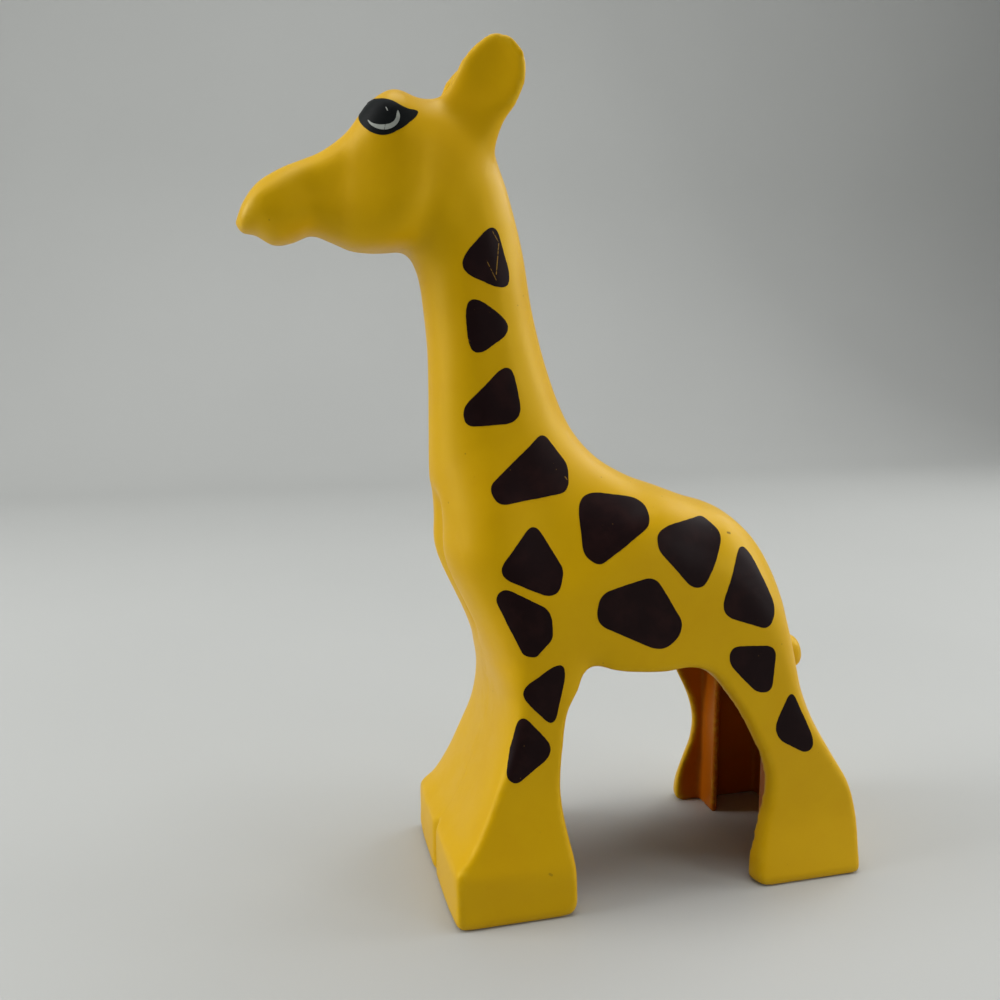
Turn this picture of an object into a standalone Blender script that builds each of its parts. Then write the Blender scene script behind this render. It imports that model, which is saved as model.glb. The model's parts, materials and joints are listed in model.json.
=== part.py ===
# Toy giraffe in hard yellow plastic with printed brown spots, made to stand on big stacking bricks.
#
# Frame: metres, +Z up, nose towards -X, the animal's left side towards -Y. The origin is on the floor, under
# the middle of the overall box. The figure is moulded as two hollow half shells that meet on the mid-plane.
#
# The outside is skinned over ribs. In side view each rib has two straight arms: one from the top line and one
# from the under line, and they meet on a spine between the lines. Along an arm the surface rises from the
# mid-plane to the half width over a rounded edge, and then stays flat up to the spine.
# Three runs of ribs, head and neck, trunk and hind legs, and forelegs, share their last arms at the shoulder.

import bpy
import bmesh
import numpy as np

MM = 0.001

# Bricks that the feet fit
STUD_PITCH = 16.0 * MM
STUD_DIAMETER = 9.4 * MM
STUD_CLEARANCE = 0.1 * MM
FOOT_PLAY = 0.2 * MM
STUDS_LONG_COUNT = 4
STUDS_WIDE_COUNT = 2

# Side view: lengths from nose to heel, and heights
NOSE_OVERHANG = 25.1 * MM
FRONT_FOOT_LENGTH = 17.7 * MM
HIND_FOOT_LENGTH = 19.0 * MM
FOOT_HEIGHT = 7.5 * MM
ARCH_HEIGHT = 33.3 * MM
TRUNK_HEIGHT = 26.7 * MM
NECK_HEIGHT = 32.4 * MM
HEAD_HEIGHT = 27.2 * MM

# Widths across the figure and its rounded edges
NECK_WIDTH = 14.4 * MM
BODY_WIDTH = 27.0 * MM
LEG_EDGE = 1.2 * MM
BODY_EDGE = 12.0 * MM
CLEFT_WIDTH = 2.4 * MM
CLEFT_DEPTH = 1.0 * MM

# Brow over each eye: how far it lifts the skin, how far that spreads, and how far out it is in full
BROW_RISE = 0.7 * MM
BROW_SPREAD = 3.4 * MM
BROW_REACH = 4.6 * MM
BROW_LEAN = np.radians(42)

# Ears and tail
EAR_SPREAD = 14.0 * MM
EAR_THICKNESS = 3.4 * MM
EAR_TWIST = 1.0 * MM
EAR_SCOOP = 1.1 * MM
TAIL_WIDTH = 4.4 * MM

# Moulding
WALL = 2.0 * MM
FIN_THICKNESS = 1.0 * MM
SEAM_GAP = 0.3 * MM
PIN_DIAMETER = 2.2 * MM
PIN_REACH = 2.0 * MM
PIN_ROOT = 1.0 * MM
PIN_CLEARANCE = 0.3 * MM
BOSS_WALL = 1.0 * MM

# Printed ink
INK_GAP = 0.35 * MM
INK_THICKNESS = 0.25 * MM
SPOT_CORNER = 2.0 * MM
GLINT_GAP = 0.2 * MM

# Surface quality, and how far a cutter runs past what it cuts
OVERRUN = 1.0 * MM
MERGE_DISTANCE = 0.001 * MM
SLIVER = 0.05 * MM
RINGS_PER_RIB_COUNT = 2
EDGE_STEP_COUNT = 5
CORNER_STEP_COUNT = 4
EAR_SIDE_COUNT = 14
ROUND_SIDE_COUNT = 12
SPOT_POINT_COUNT = 16
PAD_RING_SHARES = (1.0, 0.5)
SMOOTH_ANGLE = np.radians(40)

FOOTPRINT_LENGTH = STUDS_LONG_COUNT * STUD_PITCH - FOOT_PLAY
FOOTPRINT_WIDTH = STUDS_WIDE_COUNT * STUD_PITCH - FOOT_PLAY
FOOT_WALL = (STUD_PITCH - FOOT_PLAY - STUD_DIAMETER) / 2 - STUD_CLEARANCE
SOCKET_LENGTH = STUD_DIAMETER + 2 * STUD_CLEARANCE
OVERALL_LENGTH = NOSE_OVERHANG + FOOTPRINT_LENGTH
BACK_HEIGHT = ARCH_HEIGHT + TRUNK_HEIGHT
JAW_HEIGHT = BACK_HEIGHT + NECK_HEIGHT
FIGURE_HEIGHT = JAW_HEIGHT + HEAD_HEIGHT

NOSE_X = -OVERALL_LENGTH / 2
TOE_X = NOSE_X + NOSE_OVERHANG
HEEL_X = OVERALL_LENGTH / 2

# Every outline below is written in shares of these lines: 2.5 is halfway from line 2 to line 3.
X_LINES = (NOSE_X, TOE_X, TOE_X + FRONT_FOOT_LENGTH, HEEL_X - HIND_FOOT_LENGTH, HEEL_X)
Z_LINES = (0, FOOT_HEIGHT, ARCH_HEIGHT, BACK_HEIGHT, JAW_HEIGHT, FIGURE_HEIGHT)
WIDTH_LINES = (0, NECK_WIDTH / 2, BODY_WIDTH / 2, FOOTPRINT_WIDTH / 2)
EDGE_LINES = (0, LEG_EDGE, BODY_EDGE)

# Rib: top point x and z, under point x and z, half width, top edge, under edge, fullness of the section
NECK_RIB_SHARES = (
    (0.000, 4.133, 0.000, 4.114, 0.10, 1.7, 1.7, 2.0),
    (0.042, 4.225, 0.031, 4.077, 0.42, 1.7, 1.7, 2.0),
    (0.119, 4.316, 0.096, 4.067, 0.58, 1.7, 1.7, 2.0),
    (0.238, 4.385, 0.186, 4.023, 0.67, 1.7, 1.7, 2.1),
    (0.347, 4.427, 0.283, 4.034, 0.68, 1.7, 1.7, 2.1),
    (0.444, 4.466, 0.386, 4.071, 0.68, 1.7, 1.7, 2.2),
    (0.558, 4.539, 0.495, 4.041, 0.74, 1.7, 1.7, 2.6),
    (0.640, 4.611, 0.598, 4.007, 0.89, 1.7, 1.7, 3.0),
    (0.716, 4.678, 0.705, 3.998, 1.03, 1.7, 1.7, 3.2),
    (0.824, 4.750, 0.801, 4.001, 1.14, 1.7, 1.7, 3.0),
    (0.959, 4.727, 0.869, 4.004, 1.14, 1.7, 1.7, 2.6),
    (1.187, 4.728, 0.917, 3.977, 1.06, 1.7, 1.7, 2.2),
    (1.428, 4.651, 0.947, 3.931, 1.03, 1.7, 1.7, 2.1),
    (1.544, 4.489, 0.969, 3.864, 1.00, 1.7, 1.7, 2.0),
    (1.650, 4.290, 0.987, 3.750, 0.99, 1.7, 1.7, 2.0),
    (1.762, 4.018, 1.006, 3.596, 0.99, 1.7, 1.7, 2.0),
    (1.847, 3.752, 1.011, 3.430, 0.99, 1.7, 1.7, 2.0),
    (1.981, 3.489, 1.007, 3.244, 1.03, 1.7, 1.7, 2.0),
    (2.100, 3.266, 1.007, 3.060, 1.19, 1.8, 1.7, 2.0),
    (2.247, 3.120, 1.034, 2.830, 1.49, 1.9, 1.7, 2.1),
    (2.437, 3.024, 1.069, 2.602, 1.79, 2.0, 1.7, 2.2),
    (2.617, 2.961, 1.332, 2.228, 1.95, 2.0, 1.5, 2.4),
)
TRUNK_RIB_SHARES = (
    (2.617, 2.961, 2.104, 2.059, 1.95, 2.0, 1.0, 2.4),
    (2.783, 2.897, 2.303, 2.010, 1.98, 2.0, 1.0, 2.4),
    (2.962, 2.835, 2.493, 1.998, 2.00, 2.0, 1.0, 2.4),
    (3.177, 2.703, 2.634, 2.011, 2.00, 2.0, 1.0, 2.3),
    (3.329, 2.538, 2.749, 1.968, 2.00, 1.9, 1.0, 2.2),
    (3.417, 2.343, 2.841, 1.860, 2.04, 1.8, 1.0, 2.2),
    (3.475, 2.132, 2.937, 1.724, 2.08, 1.6, 1.0, 2.4),
    (3.515, 1.907, 3.021, 1.589, 2.13, 1.4, 0.5, 3.0),
    (3.607, 1.679, 3.111, 1.444, 2.17, 1.2, 0.5, 3.4),
    (3.758, 1.457, 3.146, 1.300, 2.17, 1.1, 0.5, 3.6),
    (3.906, 1.250, 3.127, 1.162, 2.21, 1.0, 0.5, 3.8),
    (3.974, 1.082, 3.076, 1.043, 2.33, 1.0, 0.5, 4.0),
    (3.995, 0.827, 3.036, 0.773, 2.58, 0.5, 0.5, 4.0),
    (4.000, 0.400, 3.016, 0.400, 2.79, 0.5, 0.5, 4.0),
    (4.000, 0.000, 3.000, 0.000, 3.00, 0.5, 0.5, 4.0),
)
FORELEG_RIB_SHARES = (
    (2.104, 2.059, 1.332, 2.228, 1.95, 1.0, 1.5, 2.4),
    (2.055, 1.955, 1.428, 2.034, 1.98, 1.0, 1.4, 2.8),
    (1.986, 1.825, 1.474, 1.833, 1.97, 0.8, 1.2, 3.2),
    (1.953, 1.617, 1.434, 1.636, 1.97, 0.5, 1.2, 3.4),
    (1.929, 1.426, 1.333, 1.430, 2.04, 0.5, 1.1, 3.6),
    (1.938, 1.272, 1.229, 1.260, 2.29, 0.5, 1.1, 3.8),
    (1.963, 1.133, 1.118, 1.112, 2.58, 0.5, 1.1, 4.0),
    (1.981, 1.035, 1.042, 1.027, 2.79, 0.5, 1.0, 4.0),
    (1.996, 0.853, 1.013, 0.880, 2.92, 0.5, 1.0, 4.0),
    (2.000, 0.440, 1.000, 0.440, 2.96, 0.5, 1.0, 4.0),
    (2.000, 0.000, 1.000, 0.000, 3.00, 0.5, 1.0, 4.0),
)
SHOULDER_SHARES = (2.007, 2.513)

# The hollow runs from behind the muzzle to the hips, and just into the forelegs.
RIBS_AHEAD_OF_HOLLOW_COUNT = 3
TRUNK_RIBS_ROUND_HOLLOW_COUNT = 7
FORELEG_RIBS_ROUND_HOLLOW_COUNT = 2
BLENDED_RIB_COUNTS = {"neck": 3, "trunk": 2, "foreleg": 1}
FLAT_SHARE = 0.15

# Soft swellings of the side: x, z, how much wider, and how far they spread as a share of the body width
SWELLING_SHARES = (
    (0.780, 4.640, 0.10, 0.16),
    (1.350, 2.870, 0.07, 0.22),
    (3.160, 2.300, 0.03, 0.30),
)

# Middle of the brow: x and z
BROW_SHARES = (0.703, 4.654)

# Ear rib: front point x and z, rear point x and z, middle out from the mid-plane, thickness, scoop
EAR_RIB_SHARES = (
    (1.158, 4.317, 1.356, 4.224, 0.36, 0.80, 0.0),
    (1.085, 4.446, 1.425, 4.335, 0.43, 1.25, 0.0),
    (1.049, 4.570, 1.480, 4.461, 0.52, 1.50, 0.0),
    (1.086, 4.713, 1.534, 4.589, 0.68, 1.25, 0.3),
    (1.156, 4.806, 1.614, 4.690, 0.82, 1.00, 1.0),
    (1.241, 4.882, 1.664, 4.792, 0.92, 0.88, 1.0),
    (1.312, 4.943, 1.663, 4.890, 0.98, 0.76, 0.9),
    (1.387, 4.983, 1.579, 4.954, 1.00, 0.60, 0.5),
    (1.438, 5.000, 1.500, 4.991, 1.00, 0.26, 0.1),
)

# Tail rib: rear point x and z, front point x and z, width
TAIL_RIB_SHARES = (
    (3.429, 2.368, 3.317, 2.208, 1.00),
    (3.593, 2.256, 3.423, 2.083, 1.00),
    (3.712, 2.115, 3.541, 1.955, 0.95),
    (3.792, 1.972, 3.660, 1.859, 0.86),
    (3.821, 1.859, 3.744, 1.810, 0.73),
    (3.826, 1.808, 3.795, 1.797, 0.40),
)

# Locating pins between the halves: x and z
PIN_SHARES = ((0.840, 4.380), (1.430, 3.600), (1.690, 2.600), (3.090, 2.520))

# Corners of each printed spot in side view: x, z and how round, as a share of the spot corner
SPOT_SHARES = {
    "neck_high": ((1.463, 4.144, 0.73), (1.632, 3.812, 1.05), (1.129, 3.923, 1.25)),
    "neck_middle": ((1.207, 3.855, 1.10), (1.629, 3.684, 1.07), (1.267, 3.547, 0.94)),
    "neck_low": ((1.581, 3.560, 0.83), (1.682, 3.289, 1.41), (1.229, 3.274, 0.67), (1.201, 3.352, 1.70)),
    "withers": (
        (1.830, 3.248, 0.62), (2.014, 3.109, 1.39), (2.006, 2.994, 0.96),
        (1.433, 2.937, 0.91), (1.371, 3.027, 0.81),
    ),
    "back_front": (
        (2.041, 3.004, 1.55), (2.426, 2.937, 1.33), (2.418, 2.819, 1.21),
        (2.134, 2.618, 0.68), (2.056, 2.670, 1.53),
    ),
    "back_rear": (
        (2.758, 2.835, 0.94), (2.843, 2.749, 0.82), (2.704, 2.474, 1.07),
        (2.635, 2.478, 1.10), (2.446, 2.690, 1.46), (2.446, 2.804, 2.00),
    ),
    "rump": ((2.945, 2.758, 1.05), (3.191, 2.333, 2.00), (3.115, 2.219, 0.82), (2.789, 2.321, 1.43)),
    "flank": (
        (2.429, 2.557, 1.24), (2.589, 2.296, 1.22), (2.573, 2.216, 1.51),
        (2.476, 2.138, 1.72), (2.109, 2.318, 1.43), (2.133, 2.476, 1.32),
    ),
    "shoulder_high": (
        (1.710, 2.856, 0.69), (1.927, 2.608, 0.94), (1.882, 2.493, 1.09),
        (1.789, 2.475, 1.18), (1.378, 2.594, 1.03),
    ),
    "shoulder_low": (
        (1.384, 2.472, 1.00), (1.455, 2.530, 0.89), (1.812, 2.404, 1.31),
        (1.825, 2.257, 0.96), (1.690, 2.162, 0.45), (1.595, 2.172, 0.59),
    ),
    "foreleg_high": ((1.966, 2.173, 0.90), (1.836, 1.764, 0.55), (1.535, 1.980, 1.09)),
    "foreleg_low": ((1.571, 1.869, 0.54), (1.863, 1.636, 1.21), (1.532, 1.472, 0.68), (1.472, 1.509, 0.57)),
    "thigh": (
        (2.872, 2.141, 0.85), (3.189, 2.128, 0.94), (3.171, 1.862, 0.83),
        (3.046, 1.856, 1.53), (2.855, 2.045, 1.74),
    ),
    "hind_leg": ((3.335, 1.869, 0.49), (3.568, 1.522, 1.96), (3.490, 1.462, 0.85), (3.171, 1.597, 1.63)),
}

# Eye: the black almond with its flick, and the pale crescent between two arcs
EYE_SHARES = (
    (0.643, 4.574), (0.667, 4.603), (0.695, 4.627), (0.727, 4.647), (0.763, 4.658),
    (0.799, 4.651), (0.847, 4.629), (0.918, 4.621), (0.898, 4.582), (0.855, 4.548),
    (0.799, 4.515), (0.735, 4.502), (0.679, 4.522), (0.647, 4.551),
)
CRESCENT_OUTER_SHARES = ((0.671, 4.573), (0.697, 4.540), (0.745, 4.525), (0.801, 4.546), (0.822, 4.594))
CRESCENT_INNER_SHARES = ((0.673, 4.572), (0.704, 4.553), (0.747, 4.548), (0.789, 4.561), (0.807, 4.597))

YELLOW = (0.90, 0.52, 0.012, 1.0)
BROWN = (0.018, 0.006, 0.006, 1.0)
BLACK = (0.008, 0.010, 0.012, 1.0)
WHITE = (0.70, 0.72, 0.70, 1.0)


def clear_scene():
    for old in list(bpy.data.objects):
        bpy.data.objects.remove(old, do_unlink=True)


def plastic(name, colour, roughness):
    material = bpy.data.materials.new(name)
    material.use_nodes = True
    shader = material.node_tree.nodes["Principled BSDF"]
    shader.inputs["Base Color"].default_value = colour
    shader.inputs["Roughness"].default_value = roughness
    shader.inputs["Metallic"].default_value = 0.0
    material.diffuse_color = colour
    return material


def on_lines(shares, lines):
    """Metres from shares of a row of lines."""
    return np.interp(shares, np.arange(len(lines)), lines)


def side_points(shares):
    """Side-view points, x and z, from their shares."""
    table = np.array(shares)
    return np.column_stack([on_lines(table[:, 0], X_LINES), on_lines(table[:, 1], Z_LINES)])


def rib_rows(shares):
    """Ribs in metres: top x, top z, under x, under z, half width, top edge, under edge, fullness."""
    table = np.array(shares)
    return np.column_stack([
        side_points(table[:, 0:2]),
        side_points(table[:, 2:4]),
        on_lines(table[:, 4], WIDTH_LINES),
        on_lines(table[:, 5], EDGE_LINES),
        on_lines(table[:, 6], EDGE_LINES),
        table[:, 7],
    ])


def smooth_rows(rows, before=None, after=None, per_rib=RINGS_PER_RIB_COUNT):
    """A smooth cubic run through the rows. The rows before and after only set the slope at its ends."""
    first = 2 * rows[0] - rows[1] if before is None else before
    last = 2 * rows[-1] - rows[-2] if after is None else after
    padded = np.vstack([first, rows, last])
    slopes = (padded[2:] - padded[:-2]) / 2
    place = np.linspace(0, len(rows) - 1, (len(rows) - 1) * per_rib + 1)
    index = np.minimum(place.astype(int), len(rows) - 2)
    part = (place - index)[:, None]
    left = 1 - part
    return (
        rows[index] * (1 + 2 * part) * left**2
        + rows[index + 1] * (1 + 2 * left) * part**2
        + slopes[index] * part * left**2
        - slopes[index + 1] * left * part**2
    )


def arm(outline, spine, half_width, edge, fullness, inset):
    """Points on the left side from the outline to the spine: a rounded edge, then the flat flank."""
    along = spine - outline
    length = np.linalg.norm(along, axis=1, keepdims=True)
    direction = along / length
    start = outline + direction * inset
    run = length - inset
    edge = np.minimum(edge[:, None], (1 - FLAT_SHARE) * run)
    angle = np.linspace(0, np.pi / 2, EDGE_STEP_COUNT + 1)[None, :]
    power = 2 / fullness[:, None]
    inward = edge * (1 - np.clip(np.cos(angle), 0, 1) ** power)
    outward = np.sin(angle) ** power
    inward = np.hstack([inward, run])
    outward = np.hstack([outward, np.ones_like(run)]) * (half_width[:, None] - inset)
    flat = start[:, None, :] + direction[:, None, :] * inward[:, :, None]
    return np.stack([flat[..., 0], -outward, flat[..., 1]], axis=-1)


def swell(points):
    """Widens the side softly round the brow, the shoulder and the haunch."""
    factor = np.ones(points.shape[:-1])
    for x_share, z_share, rise, spread in SWELLING_SHARES:
        centre = side_points([(x_share, z_share)])[0]
        away = np.hypot(points[..., 0] - centre[0], points[..., 2] - centre[1])
        factor += rise * np.exp(-((away / (spread * BODY_WIDTH)) ** 2))
    wider = points.copy()
    wider[..., 1] *= factor
    return wider


def lift_brow(points):
    """Lifts the skin forwards and up over the eye, and leaves the forehead between the brows."""
    centre = side_points([BROW_SHARES])[0]
    away = np.hypot(points[..., 0] - centre[0], points[..., 2] - centre[1])
    out = np.clip(-points[..., 1] / BROW_REACH, 0, 1)
    rise = BROW_RISE * np.exp(-((away / BROW_SPREAD) ** 2)) * out**2 * (3 - 2 * out)
    lifted = points.copy()
    lifted[..., 0] -= rise * np.sin(BROW_LEAN)
    lifted[..., 2] += rise * np.cos(BROW_LEAN)
    return lifted


def side_rings(run, inset=0.0):
    """The left side's rings over one run of ribs, each from the top line to the under line."""
    rows, blend = run
    top, under = rows[:, 0:2], rows[:, 2:4]
    shoulder = side_points([SHOULDER_SHARES])[0]
    spine = (top + under) / 2 * (1 - blend) + shoulder * blend
    upper = arm(top, spine, rows[:, 4], rows[:, 5], rows[:, 7], inset)
    lower = arm(under, spine, rows[:, 4], rows[:, 6], rows[:, 7], inset)
    return lift_brow(swell(np.concatenate([upper, lower[:, -2::-1]], axis=1)))


def spine_blend(count, ribs, shoulder_first):
    """How far each ring's spine is drawn to the shoulder: wholly at the shared arms, then fading."""
    steps = ribs * RINGS_PER_RIB_COUNT
    share = np.clip(1 - np.arange(count) / steps, 0, 1)
    share = share**2 * (3 - 2 * share)
    return (share if shoulder_first else share[::-1])[:, None]


def rib_runs():
    """The three runs of ribs, each with its rows and its spine blend. The shared arms keep one slope."""
    neck = rib_rows(NECK_RIB_SHARES)
    trunk = rib_rows(TRUNK_RIB_SHARES)
    foreleg = rib_rows(FORELEG_RIB_SHARES)
    shared = (neck[-2, 4:] + trunk[1, 4:]) / 2
    neck_after = np.concatenate([trunk[1, 0:2], foreleg[1, 2:4], shared])
    trunk_before = np.concatenate([neck[-2, 0:2], foreleg[1, 0:2], shared])
    foreleg_before = np.concatenate([trunk[1, 2:4], neck[-2, 2:4], shared])
    runs = {
        "neck": smooth_rows(neck, after=neck_after),
        "trunk": smooth_rows(trunk, before=trunk_before),
        "foreleg": smooth_rows(foreleg, before=foreleg_before),
    }
    return {
        name: (rows, spine_blend(len(rows), BLENDED_RIB_COUNTS[name], name != "neck"))
        for name, rows in runs.items()
    }


def both_sides(rings):
    """Closed rings round the figure, from rings on its left side."""
    right = rings[:, -2:0:-1].copy()
    right[..., 1] *= -1
    return np.concatenate([rings, right], axis=1)


def ring_faces(count, sides, offset=0):
    """Quads between rings, each ring closed on itself."""
    ring, side = np.meshgrid(np.arange(count - 1), np.arange(sides), indexing="ij")
    here = ring * sides + side
    along = ring * sides + (side + 1) % sides
    quads = np.stack([here, along, along + sides, here + sides], axis=-1)
    return (quads.reshape(-1, 4) + offset).tolist()


def new_object(name, points, faces, material=None):
    """A closed mesh object with its doubles merged, facing outwards and shaded smooth up to its edges."""
    mesh = bpy.data.meshes.new(name)
    mesh.from_pydata(np.asarray(points).reshape(-1, 3).tolist(), [], faces)
    work = bmesh.new()
    work.from_mesh(mesh)
    bmesh.ops.remove_doubles(work, verts=work.verts, dist=MERGE_DISTANCE)
    bmesh.ops.dissolve_degenerate(work, dist=MERGE_DISTANCE, edges=work.edges)
    bmesh.ops.recalc_face_normals(work, faces=work.faces)
    work.to_mesh(mesh)
    work.free()
    mesh.shade_smooth()
    mesh.set_sharp_from_angle(angle=SMOOTH_ANGLE)
    if material is not None:
        mesh.materials.append(material)
    made = bpy.data.objects.new(name, mesh)
    bpy.context.scene.collection.objects.link(made)
    return made


def lofted(name, runs, capped):
    """One closed solid over several stacks of closed rings. capped names the (run, ring) ends to fill."""
    points = []
    faces = []
    for index, rings in enumerate(runs):
        offset = sum(len(part) for part in points)
        count, sides = rings.shape[:2]
        points.append(rings.reshape(-1, 3))
        faces += ring_faces(count, sides, offset)
        for run, end in capped:
            if run == index:
                first = offset + (count - 1) * sides if end == "last" else offset
                faces.append(list(range(first, first + sides)))
    return new_object(name, np.concatenate(points), faces)


def helper(made):
    """A cutter or a guide, with flat faces only: it isn't part of the figure."""
    work = bmesh.new()
    work.from_mesh(made.data)
    bmesh.ops.triangulate(work, faces=work.faces)
    work.to_mesh(made.data)
    work.free()
    made.hide_render = True
    made.display_type = "WIRE"
    return made


def box(name, low, high):
    x_ends, y_ends, z_ends = zip(low, high)
    corners = [(x, y, z) for z in z_ends for y in y_ends for x in x_ends]
    faces = [[0, 2, 3, 1], [4, 5, 7, 6], [0, 1, 5, 4], [2, 6, 7, 3], [0, 4, 6, 2], [1, 3, 7, 5]]
    return helper(new_object(name, corners, faces))


def cross_cylinder(name, centre, radius, y_from, y_to):
    """A cylinder across the figure, with its axis along Y."""
    angle = np.arange(ROUND_SIDE_COUNT) * 2 * np.pi / ROUND_SIDE_COUNT
    x, z = centre[0] + radius * np.cos(angle), centre[1] + radius * np.sin(angle)
    ring = np.stack([x, np.zeros_like(angle), z], axis=-1)
    rings = np.stack([ring + (0, y_from, 0), ring + (0, y_to, 0)])
    return helper(lofted(name, [rings], [(0, "first"), (0, "last")]))


def boolean(target, operation, other):
    modifier = target.modifiers.new(f"{operation.lower()} {other.name}", "BOOLEAN")
    modifier.operation = operation
    modifier.solver = "EXACT"
    modifier.object = other


def weld_slivers(target):
    """Closes up the hair-thin faces that cuts leave where two surfaces nearly meet."""
    modifier = target.modifiers.new("weld slivers", "WELD")
    modifier.merge_threshold = SLIVER


def inner_hollow(runs):
    """The hollow inside head, neck and trunk, one wall inside the skin, round the bosses of the pins."""
    neck, trunk, foreleg = (
        both_sides(side_rings(runs[name], WALL)[::RINGS_PER_RIB_COUNT])
        for name in ("neck", "trunk", "foreleg")
    )
    neck = neck[RIBS_AHEAD_OF_HOLLOW_COUNT:]
    trunk = trunk[:TRUNK_RIBS_ROUND_HOLLOW_COUNT]
    foreleg = foreleg[:FORELEG_RIBS_ROUND_HOLLOW_COUNT]
    hollow = helper(lofted("hollow", [neck, trunk, foreleg], [(0, "first"), (1, "last"), (2, "last")]))
    for number, centre in enumerate(side_points(PIN_SHARES), 1):
        radius = PIN_DIAMETER / 2 + PIN_CLEARANCE + BOSS_WALL
        boss = cross_cylinder(f"boss_{number}", centre, radius, -BODY_WIDTH, BODY_WIDTH)
        boolean(hollow, "DIFFERENCE", boss)
    return hollow


def leg_channel(name, rows, closed, open_side, wall_x, fin_x):
    """The channel inside a pair of legs, open below and towards the arch, with a fin on each side wall.

    closed and open_side are columns of the rows: the leg's outer line and its line on the arch.
    """
    away = np.sign(wall_x - fin_x)
    inner_x = rows[:, closed] - away * WALL
    inner_x = np.minimum(inner_x, wall_x) if away > 0 else np.maximum(inner_x, wall_x)
    open_x = rows[:, open_side] - away * OVERRUN
    half = np.minimum(rows[:, 4] - WALL, FOOTPRINT_WIDTH / 2 - FOOT_WALL)
    inner_z, open_z = rows[:, closed + 1], rows[:, open_side + 1]
    inner, outer = (inner_x, inner_z), (open_x, open_z)
    corners = [(x, y, z) for (x, z), y in ((inner, -half), (outer, -half), (outer, half), (inner, half))]
    rings = np.stack([np.stack(corner, axis=-1) for corner in corners], axis=1)
    below = rings[-1:] - (0, 0, OVERRUN)
    channel = helper(lofted(name, [np.concatenate([rings, below])], [(0, "first"), (0, "last")]))
    for label, side in (("left", -1), ("right", 1)):
        y_ends = sorted((side * STUD_PITCH / 2, side * FOOTPRINT_WIDTH))
        x_ends = sorted((fin_x, fin_x - away * FIN_THICKNESS))
        low, high = (x_ends[0], y_ends[0], -2 * OVERRUN), (x_ends[1], y_ends[1], BACK_HEIGHT)
        fin = box(f"{name}_{label}_fin", low, high)
        boolean(channel, "DIFFERENCE", fin)
    return channel


def toe_cleft():
    """A shallow V between the two front hooves, which runs out where the leg slopes back."""
    half = CLEFT_WIDTH / 2 * (OVERRUN + CLEFT_DEPTH) / CLEFT_DEPTH
    outline = np.array([[TOE_X - OVERRUN, -half], [TOE_X + CLEFT_DEPTH, 0], [TOE_X - OVERRUN, half]])
    rings = np.array([[[x, y, z] for x, y in outline] for z in (-OVERRUN, ARCH_HEIGHT)])
    return helper(lofted("cleft", [rings], [(0, "first"), (0, "last")]))


def ear(name, side):
    """A leaf-shaped ear of ovals from front to rear edge, scooped on the outside, leaning out to the tip."""
    table = np.array(EAR_RIB_SHARES)
    front, rear = side_points(table[:, 0:2]), side_points(table[:, 2:4])
    sizes = table[:, 4:7] * (EAR_SPREAD / 2, EAR_THICKNESS / 2, EAR_SCOOP)
    rows = smooth_rows(np.column_stack([front, rear, sizes]))
    angle = np.arange(EAR_SIDE_COUNT) * 2 * np.pi / EAR_SIDE_COUNT
    middle, reach = (rows[:, 0:2] + rows[:, 2:4]) / 2, (rows[:, 2:4] - rows[:, 0:2]) / 2
    flat = middle[:, None, :] + reach[:, None, :] * np.cos(angle)[None, :, None]
    outside = np.clip(np.sin(angle), 0, 1) ** 3
    out = rows[:, 4:5] + EAR_TWIST * np.cos(angle) + rows[:, 5:6] * np.sin(angle) - rows[:, 6:7] * outside
    rings = np.stack([flat[..., 0], side * out, flat[..., 1]], axis=-1)
    return helper(lofted(name, [rings], [(0, "first"), (0, "last")]))


def tail():
    table = np.array(TAIL_RIB_SHARES)
    rows = smooth_rows(np.column_stack([side_points(table[:, 0:2]), side_points(table[:, 2:4]), table[:, 4]]))
    count = len(rows)
    middle = (rows[:, 0:2] + rows[:, 2:4]) / 2
    half, edge, fullness = rows[:, 4] * TAIL_WIDTH / 2, np.full(count, BODY_EDGE), np.full(count, 2.0)
    upper = arm(rows[:, 0:2], middle, half, edge, fullness, 0.0)
    lower = arm(rows[:, 2:4], middle, half, edge, fullness, 0.0)
    rings = both_sides(np.concatenate([upper, lower[:, -2::-1]], axis=1))
    return helper(lofted("tail", [rings], [(0, "first"), (0, "last")]))


def half_shell(runs, label, side, material, rear, cutters):
    """One half of the figure: the skin with its ear and tail, cut back from the seam and hollowed out."""
    rings = [both_sides(side_rings(runs[name])) for name in ("neck", "trunk", "foreleg")]
    shell = lofted(f"{label}_shell", rings, [(0, "first"), (1, "last"), (2, "last")])
    shell.data.materials.append(material)
    boolean(shell, "UNION", ear(f"{label}_ear", side))
    boolean(shell, "UNION", rear)
    reach = FIGURE_HEIGHT + OVERRUN
    y_ends = sorted((side * SEAM_GAP / 2, side * reach))
    low, high = (-reach, y_ends[0], -OVERRUN), (reach, y_ends[1], reach)
    boolean(shell, "INTERSECT", box(f"{label}_half", low, high))
    for cutter in cutters:
        boolean(shell, "DIFFERENCE", cutter)
    return shell


def pins_and_sockets(left, right):
    for number, centre in enumerate(side_points(PIN_SHARES), 1):
        root = -SEAM_GAP / 2 - PIN_ROOT
        pin = cross_cylinder(f"pin_{number}", centre, PIN_DIAMETER / 2, root, PIN_REACH)
        boolean(left, "UNION", pin)
        depth = PIN_REACH + PIN_CLEARANCE
        socket = cross_cylinder(f"socket_{number}", centre, PIN_DIAMETER / 2 + PIN_CLEARANCE, -OVERRUN, depth)
        boolean(right, "DIFFERENCE", socket)


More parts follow.
